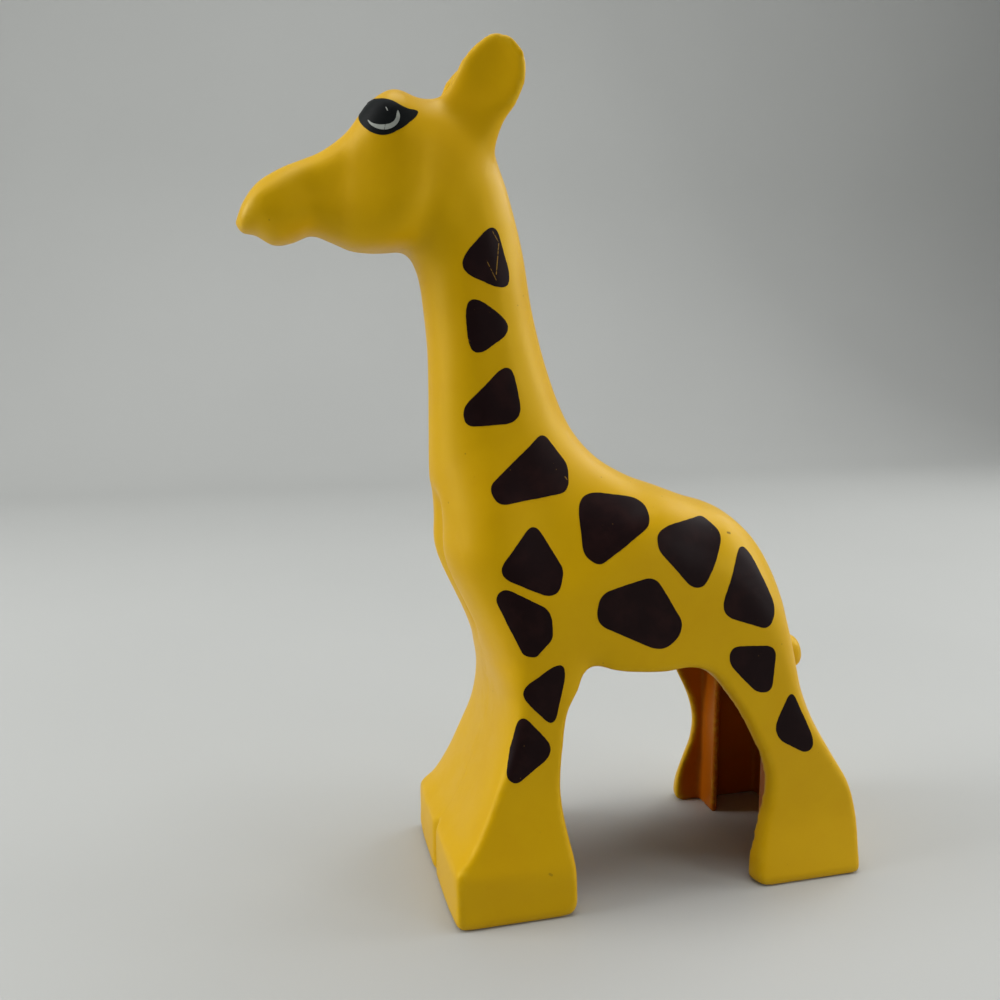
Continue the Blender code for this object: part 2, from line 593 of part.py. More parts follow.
def rounded(corners, radii):
    """A closed outline with its corners rounded by short curves that leave the sides at the same distance."""
    points = []
    count = len(corners)
    for index in range(count):
        here, before, after = corners[index], corners[index - 1], corners[(index + 1) % count]
        back, forth = before - here, after - here
        back_length, forth_length = np.linalg.norm(back), np.linalg.norm(forth)
        cosine = np.dot(back, forth) / (back_length * forth_length)
        reach = radii[index] / np.tan(np.arccos(np.clip(cosine, -1, 1)) / 2)
        start = here + back * min(reach / back_length, 0.5)
        end = here + forth * min(reach / forth_length, 0.5)
        for share in np.linspace(0, 1, CORNER_STEP_COUNT):
            points.append(start * (1 - share) ** 2 + here * 2 * share * (1 - share) + end * share**2)
    return np.array(points)


def evenly(outline, count):
    """The closed outline with its points spaced evenly."""
    closed = np.vstack([outline, outline[:1]])
    travelled = np.concatenate([[0], np.cumsum(np.linalg.norm(np.diff(closed, axis=0), axis=1))])
    place = np.linspace(0, travelled[-1], count, endpoint=False)
    return np.column_stack([np.interp(place, travelled, closed[:, axis]) for axis in (0, 1)])


def side_triangles(runs):
    triangles = []
    for run in runs.values():
        rings = side_rings(run)
        a, b, c, d = rings[:-1, :-1], rings[:-1, 1:], rings[1:, 1:], rings[1:, :-1]
        for corner in ((a, b, c), (a, c, d)):
            triangles.append(np.stack(corner, axis=-2).reshape(-1, 3, 3))
    return np.concatenate(triangles)


def skin_depth(triangles, points):
    """How far the left side stands out, as y, at side-view points: the outermost triangle over each."""
    a, b, c = (triangles[:, corner][:, [0, 2]] for corner in range(3))
    area = (b[:, 1] - c[:, 1]) * (a[:, 0] - c[:, 0]) + (c[:, 0] - b[:, 0]) * (a[:, 1] - c[:, 1])
    area = np.where(np.abs(area) < MERGE_DISTANCE**2, np.inf, area)
    dx, dz = points[:, 0:1] - c[:, 0], points[:, 1:2] - c[:, 1]
    first = ((b[:, 1] - c[:, 1]) * dx + (c[:, 0] - b[:, 0]) * dz) / area
    second = ((c[:, 1] - a[:, 1]) * dx + (a[:, 0] - c[:, 0]) * dz) / area
    third = 1 - first - second
    inside = np.minimum(np.minimum(first, second), third) > -MERGE_DISTANCE
    depth = first * triangles[:, 0, 1] + second * triangles[:, 1, 1] + third * triangles[:, 2, 1]
    return np.where(inside, depth, 0).min(axis=1)


def on_skin(triangles, points, height):
    """Side-view points laid on the left side and raised by a height along its normal."""
    step = LEG_EDGE / 4
    depth = skin_depth(triangles, points)
    slopes = []
    for shift in ((step, 0), (0, step)):
        rise = skin_depth(triangles, points + shift) - skin_depth(triangles, points - shift)
        slopes.append(rise / (2 * step))
    normal = np.stack([slopes[0], -np.ones_like(depth), slopes[1]], axis=-1)
    normal /= np.linalg.norm(normal, axis=1, keepdims=True)
    return np.stack([points[:, 0], depth, points[:, 1]], axis=-1) + normal * height


def pad(outline):
    """Side-view points and faces over an outline: rings that shrink to its middle."""
    middle = outline.mean(axis=0)
    rings = [middle + (outline - middle) * share for share in PAD_RING_SHARES]
    sides = len(outline)
    last = (len(rings) - 1) * sides
    fan = [[last + k, last + (k + 1) % sides, last + sides] for k in range(sides)]
    return np.vstack(rings + [middle]), ring_faces(len(rings), sides) + fan


def crescent(grow):
    """Side-view points and faces between the two arcs of the crescent, widened all round by grow."""
    outer = smooth_rows(side_points(CRESCENT_OUTER_SHARES), per_rib=3)
    inner = smooth_rows(side_points(CRESCENT_INNER_SHARES), per_rib=3)
    sides = len(outer)
    along = np.gradient((outer + inner) / 2, axis=0)
    along /= np.linalg.norm(along, axis=1, keepdims=True)
    across = np.column_stack([-along[:, 1], along[:, 0]])
    ends = np.zeros((sides, 1))
    ends[0], ends[-1] = -1, 1
    shift = along * ends * grow
    rows = np.vstack([outer - across * grow + shift, inner + across * grow + shift])
    return rows, [[k, k + 1, k + 1 + sides, k + sides] for k in range(sides - 1)]


def ink_pad(name, side, triangles, sheet, material, below=0.0, above=0.0):
    """A thin pad of ink over the skin. below and above make it thicker, for a cutter."""
    flat, faces = sheet
    under = on_skin(triangles, flat, INK_GAP - below)
    over = on_skin(triangles, flat, INK_GAP + INK_THICKNESS + above)
    points = np.concatenate([under, over])
    points[:, 1] *= -side
    top = len(flat)
    edges = {(a, b) for face in faces for a, b in zip(face, face[1:] + face[:1])}
    rims = [[a, b, b + top, a + top] for a, b in sorted(edges) if (b, a) not in edges]
    upper = [[corner + top for corner in face] for face in faces]
    return new_object(name, points, faces + upper + rims, material)


def print_ink(triangles, label, side, brown, black, white):
    for place, corners in SPOT_SHARES.items():
        radii = [share * SPOT_CORNER for x_share, z_share, share in corners]
        outline = evenly(rounded(side_points(corners), radii), SPOT_POINT_COUNT)
        ink_pad(f"{label}_spot_{place}", side, triangles, pad(outline), brown)
    almond = evenly(side_points(EYE_SHARES), SPOT_POINT_COUNT)
    eye = ink_pad(f"{label}_eye", side, triangles, pad(almond), black)
    cutter = ink_pad(f"{label}_cutter", side, triangles, crescent(GLINT_GAP), None, INK_GAP / 2, OVERRUN)
    boolean(eye, "DIFFERENCE", helper(cutter))
    weld_slivers(eye)
    ink_pad(f"{label}_eye_crescent", side, triangles, crescent(0.0), white)


def main():
    clear_scene()
    yellow = plastic("yellow_plastic", YELLOW, 0.35)
    brown = plastic("brown_ink", BROWN, 0.30)
    black = plastic("black_ink", BLACK, 0.30)
    white = plastic("white_ink", WHITE, 0.35)
    runs = rib_runs()
    fore_rows = runs["foreleg"][0][FORELEG_RIBS_ROUND_HOLLOW_COUNT * RINGS_PER_RIB_COUNT:]
    hind_rows = runs["trunk"][0][TRUNK_RIBS_ROUND_HOLLOW_COUNT * RINGS_PER_RIB_COUNT:]
    fin = FOOT_WALL + SOCKET_LENGTH
    cutters = [
        inner_hollow(runs),
        leg_channel("fore_channel", fore_rows, 2, 0, TOE_X + FOOT_WALL, TOE_X + fin),
        leg_channel("hind_channel", hind_rows, 0, 2, HEEL_X - FOOT_WALL, HEEL_X - fin),
        toe_cleft(),
    ]
    rear = tail()
    left = half_shell(runs, "left", -1, yellow, rear, cutters)
    right = half_shell(runs, "right", 1, yellow, rear, cutters)
    pins_and_sockets(left, right)
    weld_slivers(left)
    weld_slivers(right)
    triangles = side_triangles(runs)
    for label, side in (("left", -1), ("right", 1)):
        print_ink(triangles, label, side, brown, black, white)


main()
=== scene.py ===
import json
from contextlib import contextmanager
import bmesh
import bpy
import numpy as np
from mathutils import Matrix

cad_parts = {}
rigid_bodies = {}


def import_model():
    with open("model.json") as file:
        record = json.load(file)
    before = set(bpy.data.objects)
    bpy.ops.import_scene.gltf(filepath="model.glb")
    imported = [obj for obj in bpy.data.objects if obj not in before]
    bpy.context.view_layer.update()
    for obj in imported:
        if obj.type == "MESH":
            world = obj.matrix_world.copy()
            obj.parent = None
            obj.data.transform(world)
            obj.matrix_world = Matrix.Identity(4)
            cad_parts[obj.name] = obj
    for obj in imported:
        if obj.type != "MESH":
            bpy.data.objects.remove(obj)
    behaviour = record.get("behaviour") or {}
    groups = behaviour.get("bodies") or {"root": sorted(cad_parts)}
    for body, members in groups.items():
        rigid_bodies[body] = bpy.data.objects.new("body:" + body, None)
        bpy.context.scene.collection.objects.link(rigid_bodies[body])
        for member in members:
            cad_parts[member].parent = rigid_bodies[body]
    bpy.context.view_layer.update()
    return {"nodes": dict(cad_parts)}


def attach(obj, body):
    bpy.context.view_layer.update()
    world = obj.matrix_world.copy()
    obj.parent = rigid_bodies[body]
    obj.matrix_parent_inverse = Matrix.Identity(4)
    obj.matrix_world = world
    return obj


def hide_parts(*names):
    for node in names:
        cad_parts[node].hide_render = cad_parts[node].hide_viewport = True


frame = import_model()
print("frame loaded:", len(frame["nodes"]), "CAD nodes")

millimetre = 0.001

# The body: one skin over ribs, made even with small voxels, then parted into two half shells
body = {
    "stepsPerRib": 6, "edgeSteps": 12, "flatSteps": 5, "longestEdge": 0.85, "voxel": 0.35, "evenPasses": 3,
    "keepingPasses": 45, "keepingReturn": 0.53, "partingGap": 0.04, "cutDistance": 0.0001, "sharpAngle": 55,
}
# Points closer than this are one
weldDistance = 0.001
# Ribs in side view: top point x and z, under point x and z, half width, top edge, under edge, fullness
neckRibs = [
    (-44.45, 96.03, -44.45, 95.49, 0.72, 8.76, 8.76, 2.0),
    (-43.39, 98.53, -43.67, 94.5, 3.02, 8.76, 8.76, 2.0),
    (-41.47, 100.99, -42.05, 94.22, 4.18, 8.76, 8.76, 2.0),
    (-38.47, 102.86, -39.77, 93.02, 4.82, 8.76, 8.76, 2.1),
    (-35.75, 104.02, -37.35, 93.33, 4.9, 8.76, 8.76, 2.1),
    (-33.31, 105.08, -34.76, 94.33, 4.9, 8.76, 8.76, 2.2),
    (-30.45, 107.05, -32.03, 93.52, 5.33, 8.76, 8.76, 2.6),
    (-28.39, 109.01, -29.44, 92.58, 6.41, 8.76, 8.76, 3.0),
    (-26.48, 110.83, -26.75, 92.35, 7.39, 8.76, 8.76, 3.2),
    (-23.77, 112.8, -24.34, 92.44, 8.08, 8.76, 8.76, 3.0),
    (-20.37, 112.17, -22.64, 92.5, 8.08, 8.76, 8.76, 2.6),
    (-16.04, 112.19, -21.44, 91.66, 7.58, 8.76, 8.76, 2.2),
    (-11.77, 110.1, -20.69, 90.15, 7.39, 8.76, 8.76, 2.1),
    (-9.72, 105.7, -20.13, 88.0, 7.2, 8.76, 8.76, 2.0),
    (-7.85, 100.28, -19.67, 84.31, 7.13, 8.76, 8.76, 2.0),
    (-5.87, 92.9, -19.24, 79.31, 7.13, 8.76, 8.76, 2.0),
    (-4.36, 84.36, -19.16, 73.92, 7.13, 8.76, 8.76, 2.0),
    (-1.99, 75.84, -19.22, 67.92, 7.39, 8.76, 8.76, 2.0),
    (1.05, 68.62, -19.22, 61.95, 8.4, 9.84, 8.76, 2.0),
    (5.05, 63.89, -18.75, 55.45, 10.29, 10.92, 8.76, 2.1),
    (10.18, 60.79, -18.12, 49.38, 12.18, 12.0, 8.76, 2.2),
    (15.07, 58.96, -13.47, 39.38, 13.18, 12.0, 6.6, 2.4),
]
trunkRibs = [
    (15.07, 58.96, 1.16, 34.87, 13.18, 12.0, 1.2, 2.4),
    (19.57, 57.25, 6.55, 33.57, 13.37, 12.0, 1.2, 2.4),
    (24.43, 55.59, 11.71, 33.26, 13.5, 12.0, 1.2, 2.4),
    (28.82, 52.06, 15.52, 33.59, 13.5, 12.0, 1.2, 2.3),
    (31.7, 47.66, 18.64, 32.47, 13.5, 10.92, 1.4, 2.2),
    (33.37, 42.47, 21.13, 29.68, 13.6, 9.84, 1.6, 2.4),
    (34.48, 36.82, 23.78, 26.18, 13.69, 7.68, 1.6, 2.6),
    (35.24, 30.91, 25.95, 22.69, 13.81, 5.52, 1.4, 3.2),
    (36.99, 25.02, 27.7, 18.95, 13.91, 3.36, 1.4, 3.4),
    (40.0, 19.28, 28.5, 15.25, 13.91, 2.28, 1.6, 3.6),
    (42.95, 13.95, 28.15, 11.69, 14.0, 1.6, 2.0, 4.0),
    (44.2, 9.62, 27.2, 8.61, 14.29, 1.6, 2.2, 4.2),
    (44.45, 6.2, 26.5, 5.8, 14.89, 1.6, 2.4, 4.4),
    (44.45, 3.4, 26.1, 3.6, 15.4, 1.6, 2.4, 4.4),
    (44.45, 1.3, 26.05, 1.4, 15.85, 1.6, 2.4, 4.4),
    (44.3, 0.4, 26.4, 0.4, 15.9, 1.6, 2.4, 4.4),
    (43.7, 0.0, 27.2, 0.0, 15.5, 1.6, 2.4, 4.2),
]
forelegRibs = [
    (1.16, 34.87, -13.47, 39.38, 13.18, 1.2, 6.6, 2.4),
    (-0.35, 32.13, -11.78, 34.21, 13.37, 1.2, 5.52, 2.8),
    (-2.05, 28.78, -10.96, 28.99, 13.31, 1.0, 3.36, 3.2),
    (-2.72, 23.43, -11.66, 23.91, 13.31, 1.0, 3.0, 3.4),
    (-3.1, 18.48, -13.45, 18.59, 13.6, 1.0, 2.0, 3.6),
    (-2.8, 14.51, -15.3, 14.21, 14.2, 1.0, 2.0, 3.8),
    (-2.15, 10.93, -17.3, 10.5, 14.89, 1.0, 1.8, 4.0),
    (-1.6, 8.4, -18.95, 8.55, 15.4, 1.0, 1.2, 4.0),
    (-1.3, 6.4, -19.33, 7.4, 15.71, 1.0, 1.0, 4.0),
    (-1.15, 3.3, -19.35, 3.6, 15.8, 1.0, 1.0, 4.0),
    (-1.25, 1.5, -19.35, 1.2, 15.9, 1.0, 1.0, 4.0),
    (-1.7, 0.45, -19.2, 0.4, 15.85, 1.2, 1.2, 3.6),
    (-2.5, 0.0, -18.6, 0.0, 15.4, 1.4, 1.6, 3.2),
]
shoulderPoint = (-1.46, 47.0)
blendedRibs = {"neck": 3, "trunk": 2, "foreleg": 1}
# Soft swellings and hollows of the side: x, z, how much wider, spread
swellings = [
    (-24.9, 110.1, 0.10, 4.3),
    (-13.2, 56.5, 0.07, 5.9),
    (28.5, 41.3, 0.03, 8.1),
    (-35.0, 100.4, -0.16, 3.2),
    (-41.0, 97.2, 0.05, 2.2),
]
ear = {"points": 40, "fullness": 0.75, "scoopPower": 3, "twist": 1.0, "fullTwistWidth": 3, "steps": 6}
# Ear ribs: front point x and z, rear point x and z, middle out from the mid-plane, half thickness, scoop
earRibs = [
    (-16.55, 101.01, -13.05, 98.5, 2.52, 1.36, 0.0),
    (-17.84, 104.52, -11.7, 101.35, 3.01, 2.12, 0.0),
    (-18.49, 107.91, -10.7, 104.8, 3.64, 2.55, 0.0),
    (-17.95, 111.7, -9.65, 108.2, 4.76, 2.2, 0.33),
    (-16.75, 114.25, -8.3, 111.05, 5.74, 1.8, 1.0),
    (-15.1, 116.4, -7.25, 113.8, 6.44, 1.6, 1.1),
    (-13.55, 118.1, -7.45, 116.75, 6.86, 1.4, 0.9),
    (-12.2, 119.1, -8.6, 118.4, 7.0, 1.15, 0.45),
    (-11.3, 119.5, -9.5, 119.2, 7.0, 0.8, 0.1),
]
tail = {"edge": 12.0, "fullness": 2.0, "steps": 6}
# Tail ribs: rear point x and z, front point x and z, half width
tailRibs = [
    (33.3, 42.5, 31.48, 38.85, 2.2),
    (35.8, 39.9, 33.2, 35.6, 2.2),
    (37.4, 36.6, 35.4, 32.4, 2.0),
    (38.5, 34.2, 36.9, 30.6, 1.9),
    (40.45, 32.9, 38.1, 29.3, 1.9),
    (41.3, 31.1, 39.1, 28.5, 1.7),
    (41.35, 29.6, 39.8, 28.1, 1.3),
    (40.9, 28.6, 40.3, 28.1, 0.7),
]
# The skin over the eye stands forwards and up: middle, height, spread, where it is full, lean
brow = {"x": -26.8, "z": 110.2, "rise": 0.7, "spread": 3.4, "reach": 4.6, "lean": 42.0}
# The hollow down the middle of the breast: depth, half width, starts and ends
breast = {"depth": 2.1, "halfWidth": 2.3, "top": (61.0, 56.5), "foot": (35.0, 44.0), "behind": (-8.0, -11.0)}
# Places where the moulding flows together: x, z, full within, none beyond
softPlaces = [
    (-17.3, 112.4, 2.2, 4.6),
    (-10.4, 106.0, 2.4, 5.4),
    (-14.6, 104.6, 3.4, 6.4),
    (34.2, 39.8, 1.4, 3.4),
    (1.1, 34.8, 1.0, 3.2),
]
softening = {"passes": 70, "flankPasses": 160, "flankFull": 9.0, "flankNone": 17.0, "facing": (0.45, 0.8)}
# Leg channels for the bricks' studs, fins on their walls, and the notch in the forelegs' front
legs = {
    "wall": 2.0, "footWall": 3.1, "socket": 9.6, "finFrom": 7.6, "finThickness": 1.1, "finTo": 30,
    "finHeights": (-3, 60), "overrun": 1.0, "ceilingStart": -0.35, "foreCeilingRibs": 1, "hindFirstRib": 3,
    "hindCeilingRibs": 3, "cleftWidth": 2.4, "cleftDepth": 1.0, "cleftHeights": (-1.0, 33.0), "toe": -19.35,
    "heel": 44.45, "soleHalfWidth": 15.9,
}


def smoothStep(values, low, high):
    # 0 below low, 1 above high, 3t^2 - 2t^3 between; low above high turns it round
    t = np.clip((values - low) / (high - low), 0, 1)
    return t * t * (3 - 2 * t)


def smoothRun(ribs, before, after, steps):
    # Hermite cubic between ribs, each with half the step from the rib before to the rib after as its slope
    ribs = np.asarray(ribs, float)
    first = 2 * ribs[0] - ribs[1] if before is None else before
    last = 2 * ribs[-1] - ribs[-2] if after is None else after
    padded = np.vstack([first, ribs, last])
    slope = (padded[2:] - padded[:-2]) / 2
    place = np.linspace(0, len(ribs) - 1, (len(ribs) - 1) * steps + 1)
    index = np.minimum(place.astype(int), len(ribs) - 2)
    t = (place - index)[:, None]
    s = 1 - t
    start = ribs[index] * (1 + 2 * t) * s**2 + slope[index] * t * s**2
    end = ribs[index + 1] * (1 + 2 * s) * t**2 - slope[index + 1] * s * t**2
    return start + end


def armPoints(outline, spine, halfWidth, edge, fullness):
    # Superellipse from the mid-plane to the half width over the edge, then straight on to the spine
    along = spine - outline
    length = np.linalg.norm(along, axis=1, keepdims=True)
    direction = along / length
    edge = np.minimum(edge[:, None], body["longestEdge"] * length)
    angle = np.linspace(0, np.pi / 2, body["edgeSteps"] + 1)[None, :]
    power = 2 / fullness[:, None]
    inward = edge * (1 - np.clip(np.cos(angle), 0, 1) ** power)
    outward = np.sin(angle) ** power
    flat = np.linspace(0, 1, body["flatSteps"] + 1)[None, 1:]
    inward = np.hstack([inward, edge + (length - edge) * flat])
    outward = np.hstack([outward, np.ones((len(edge), flat.shape[1]))]) * halfWidth[:, None]
    side = outline[:, None, :] + direction[:, None, :] * inward[:, :, None]
    return np.stack([side[..., 0], -outward, side[..., 1]], axis=-1)


def swell(points):
    # Widens or narrows the side by a bell curve round each centre
    factor = np.ones(points.shape[:-1])
    for x, z, rise, spread in swellings:
        away = np.hypot(points[..., 0] - x, points[..., 2] - z)
        factor += rise * np.exp(-((away / spread) ** 2))
    wider = points.copy()
    wider[..., 1] *= factor
    return wider


def liftBrow(points):
    # Moves the skin along the lean by a bell curve round the middle, times a smooth step outwards
    away = np.hypot(points[..., 0] - brow["x"], points[..., 2] - brow["z"])
    bell = np.exp(-((away / brow["spread"]) ** 2))
    rise = brow["rise"] * bell * smoothStep(-points[..., 1], 0, brow["reach"])
    lean = np.radians(brow["lean"])
    lifted = points.copy()
    lifted[..., 0] -= rise * np.sin(lean)
    lifted[..., 2] += rise * np.cos(lean)
    return lifted


def hollowBreast(points):
    # Moves the front of the breast back by a bell curve across it, times smooth steps at its ends
    x, y, z = points[..., 0], points[..., 1], points[..., 2]
    along = smoothStep(z, *breast["top"]) * smoothStep(z, *breast["foot"]) * smoothStep(x, *breast["behind"])
    hollowed = points.copy()
    hollowed[..., 0] += breast["depth"] * np.exp(-((y / breast["halfWidth"]) ** 2)) * along
    return hollowed


def leftArms(rows, spine, topEdge, underEdge, fullness):
    # The left half of each ring: from the top line out to the spine and back to the under line
    upper = armPoints(rows[:, 0:2], spine, rows[:, 4], topEdge, fullness)
    lower = armPoints(rows[:, 2:4], spine, rows[:, 4], underEdge, fullness)
    return np.concatenate([upper, lower[:, -2::-1]], axis=1)


def mirrored(left):
    # Carries each ring on round the right side
    return np.concatenate([left, left[:, -2:0:-1] * (1, -1, 1)], axis=1)


def closedRings(rows, blend):
    # The spine is halfway between the lines, or the shoulder's point as far as blend says
    spine = (rows[:, 0:2] + rows[:, 2:4]) / 2 * (1 - blend) + np.array(shoulderPoint) * blend
    left = leftArms(rows, spine, rows[:, 5], rows[:, 6], rows[:, 7])
    return mirrored(hollowBreast(liftBrow(swell(left))))


def spineBlend(count, ribs, shoulderFirst):
    # 1 at the shoulder's own rib, falling to 0 in a smooth step over the ribs next to it
    share = smoothStep(1 - np.arange(count) / (ribs * body["stepsPerRib"]), 0, 1)
    return (share if shoulderFirst else share[::-1])[:, None]


def gridFaces(rows, columns, closed, offset=0):
    # Quads of a grid of points, where closed joins the last column to the first
    across = columns if closed else columns - 1
    r, c = np.meshgrid(np.arange(rows - 1), np.arange(across), indexing="ij")
    here = r * columns + c
    beside = r * columns + (c + 1) % columns
    quads = np.stack([here, beside, beside + columns, here + columns], axis=-1)
    return (quads.reshape(-1, 4) + offset).tolist()


@contextmanager
def opened(mesh):
    # The mesh's points and faces for editing, written back afterwards
    work = bmesh.new()
    work.from_mesh(mesh)
    yield work
    work.to_mesh(mesh)
    work.free()


def linked(name, data):
    # A new object with this data, in the scene
    made = bpy.data.objects.new(name, data)
    bpy.context.scene.collection.objects.link(made)
    return made


def makeObject(name, points, faces, closed=True):
    # A mesh object in millimetres, with double points welded
    mesh = bpy.data.meshes.new(name)
    mesh.from_pydata(np.asarray(points, float).reshape(-1, 3).tolist(), [], faces)
    with opened(mesh) as work:
        bmesh.ops.remove_doubles(work, verts=work.verts, dist=weldDistance)
        bmesh.ops.dissolve_degenerate(work, dist=weldDistance, edges=work.edges)
        if closed:
            bmesh.ops.recalc_face_normals(work, faces=work.faces)
    return linked(name, mesh)


def ringSolid(name, stacks, caps):
    # A closed solid over stacks of closed rings, with the ends of stacks in caps filled
    points, faces, offset = [], [], 0
    for index, rings in enumerate(stacks):
        rows, columns = rings.shape[:2]
        points.append(rings.reshape(-1, 3))
        faces += gridFaces(rows, columns, True, offset)
        for stack, end in caps:
            if stack == index:
                first = offset + (rows - 1) * columns if end == "last" else offset
                faces.append(list(range(first, first + columns)))
        offset += rows * columns
    return makeObject(name, np.concatenate(points), faces)


def endedSolid(name, rings):
    # One stack, filled at both ends
    return ringSolid(name, [rings], [(0, "first"), (0, "last")])


def modified(made, kind, **settings):
    # Adds a modifier and turns its shape into the mesh, so no modifier is left
    modifier = made.modifiers.new(kind, kind)
    for name, value in settings.items():
        setattr(modifier, name, value)
    graph = bpy.context.evaluated_depsgraph_get()
    fresh = bpy.data.meshes.new_from_object(made.evaluated_get(graph))
    old = made.data
    made.modifiers.clear()
    made.data = fresh
    fresh.name = made.name
    bpy.data.meshes.remove(old)


def discard(*things):
    # Removes objects that have done their work
    for thing in things:
        bpy.data.objects.remove(thing, do_unlink=True)


def cut(target, cutter):
    # Takes the cutter's volume out of the target
    with opened(cutter.data) as work:
        bmesh.ops.triangulate(work, faces=work.faces)
    modified(target, "BOOLEAN", operation="DIFFERENCE", solver="EXACT", object=cutter)
    discard(cutter)


def boxSolid(name, low, high):
    # The eight corners, z fastest, and six faces over them
    corners = np.array(np.meshgrid(*zip(low, high), indexing="ij")).reshape(3, -1).T
    faces = [[0, 1, 3, 2], [4, 6, 7, 5], [0, 4, 5, 1], [2, 3, 7, 6], [0, 2, 6, 4], [1, 5, 7, 3]]
    return makeObject(name, corners, faces)


def skinRuns():
    # The runs meet at the shoulder, so each one's slope there looks past it to the others
    neck, trunk, foreleg = (np.array(rows) for rows in (neckRibs, trunkRibs, forelegRibs))
    shared = (neck[-2, 4:] + trunk[1, 4:]) / 2
    steps = body["stepsPerRib"]
    neckAfter = np.concatenate([trunk[1, 0:2], foreleg[1, 2:4], shared])
    trunkBefore = np.concatenate([neck[-2, 0:2], foreleg[1, 0:2], shared])
    forelegBefore = np.concatenate([trunk[1, 2:4], neck[-2, 2:4], shared])
    return {
        "neck": smoothRun(neck, None, neckAfter, steps),
        "trunk": smoothRun(trunk, trunkBefore, None, steps),
        "foreleg": smoothRun(foreleg, forelegBefore, None, steps),
    }


def legChannel(name, rows, closedSide, openSide, wallX, finX, ceilingRibs):
    # A box that follows the leg's lines, open below and towards the arch, less a fin on each side wall.
    # Its depth grows in a smooth step over the first ribs, which gives it a sloping ceiling.
    away = np.sign(wallX - finX)
    inner = rows[:, closedSide] - away * legs["wall"]
    inner = np.minimum(inner, wallX) if away > 0 else np.maximum(inner, wallX)
    outer = rows[:, openSide] - away * legs["overrun"]
    half = np.minimum(rows[:, 4] - legs["wall"], legs["soleHalfWidth"] - legs["footWall"])
    steps = body["stepsPerRib"]
    depth = smoothStep(np.arange(len(rows)), legs["ceilingStart"] * steps, ceilingRibs * steps)
    inner = rows[:, openSide] + (inner - rows[:, openSide]) * depth
    outerZ = rows[:, openSide + 1]
    innerZ = outerZ + (rows[:, closedSide + 1] - outerZ) * depth
    corners = [(inner, -half, innerZ), (outer, -half, outerZ), (outer, half, outerZ), (inner, half, innerZ)]
    rings = np.stack([np.stack(corner, axis=-1) for corner in corners], axis=1)
    rings = np.concatenate([rings, rings[-1:] - (0, 0, legs["overrun"])])
    channel = endedSolid(name, rings)
    for side in (-1, 1):
        ys = sorted((side * legs["finFrom"], side * legs["finTo"]))
        xs = sorted((finX, finX - away * legs["finThickness"]))
        low, high = zip(xs, ys, legs["finHeights"])
        cut(channel, boxSolid("fin", low, high))
    return channel


def toeCleft():
    # A wedge that is cleftWidth wide at the toe's surface and reaches cleftDepth into it
    half = legs["cleftWidth"] / 2 * (legs["overrun"] + legs["cleftDepth"]) / legs["cleftDepth"]
    front, tip = legs["toe"] - legs["overrun"], legs["toe"] + legs["cleftDepth"]
    outline = [(front, -half), (tip, 0), (front, half)]
    rings = np.array([[[x, y, z] for x, y in outline] for z in legs["cleftHeights"]])
    return endedSolid("cleft", rings)


def earSolid(name, side):
    # Ovals between the ear's front and rear edges, scooped outside, twisted outwards at the rear edge
    rows = smoothRun(earRibs, None, None, ear["steps"])
    angle = np.arange(ear["points"]) * 2 * np.pi / ear["points"]
    middle, reach = (rows[:, 0:2] + rows[:, 2:4]) / 2, (rows[:, 2:4] - rows[:, 0:2]) / 2
    flat = middle[:, None, :] + reach[:, None, :] * np.cos(angle)[None, :, None]
    outside = np.clip(np.sin(angle), 0, 1) ** ear["scoopPower"]
    full = np.sign(np.sin(angle)) * np.abs(np.sin(angle)) ** ear["fullness"]
    width = np.linalg.norm(reach, axis=1, keepdims=True)
    twist = ear["twist"] * np.minimum(width / ear["fullTwistWidth"], 1)
    out = rows[:, 4:5] + twist * np.cos(angle) + rows[:, 5:6] * full - rows[:, 6:7] * outside
    rings = np.stack([flat[..., 0], side * out, flat[..., 1]], axis=-1)
    return endedSolid(name, rings)


def tailSolid():
    # Ovals between the tail's rear and front lines, across the mid-plane
    rows = smoothRun(tailRibs, None, None, tail["steps"])
    middle = (rows[:, 0:2] + rows[:, 2:4]) / 2
    edge, fullness = np.full(len(rows), tail["edge"]), np.full(len(rows), tail["fullness"])
    return endedSolid("tail", mirrored(leftArms(rows, middle, edge, edge, fullness)))


def gathered(items, name, width, kind=np.float32):
    # One property of every vertex, edge or face, as rows
    flat = np.empty(len(items) * width, kind)
    items.foreach_get(name, flat)
    return flat.reshape(-1, width)


def coordinates(mesh):
    return gathered(mesh.vertices, "co", 3).astype(float)


def vertexNormals(mesh):
    return gathered(mesh.vertices, "normal", 3)


def edgeEnds(mesh):
    # The two vertices of every edge, as two rows
    return gathered(mesh.edges, "vertices", 2, np.int64).T


def moveVertices(mesh, points):
    mesh.vertices.foreach_set("co", points.astype(np.float32).ravel())
    mesh.update()


def relaxed(points, ends, weight, passes, axes=(0, 1, 2), back=0.0):
    # Each pass moves a vertex by half its weight towards its neighbours' mean, then away from it by back,
    # which keeps the size where back is a little over a half
    a, b = ends[:, (weight[ends[0]] > 0) | (weight[ends[1]] > 0)]
    size = len(points)
    count = np.maximum(np.bincount(a, minlength=size) + np.bincount(b, minlength=size), 1)
    moved = points.copy()
    for axis in axes:
        line = moved[:, axis].copy()
        for step in (0.5, -back) * passes if back else (0.5,) * passes:
            total = np.bincount(a, line[b], size) + np.bincount(b, line[a], size)
            line += weight * step * (total / count - line)
        moved[:, axis] = line
    return moved


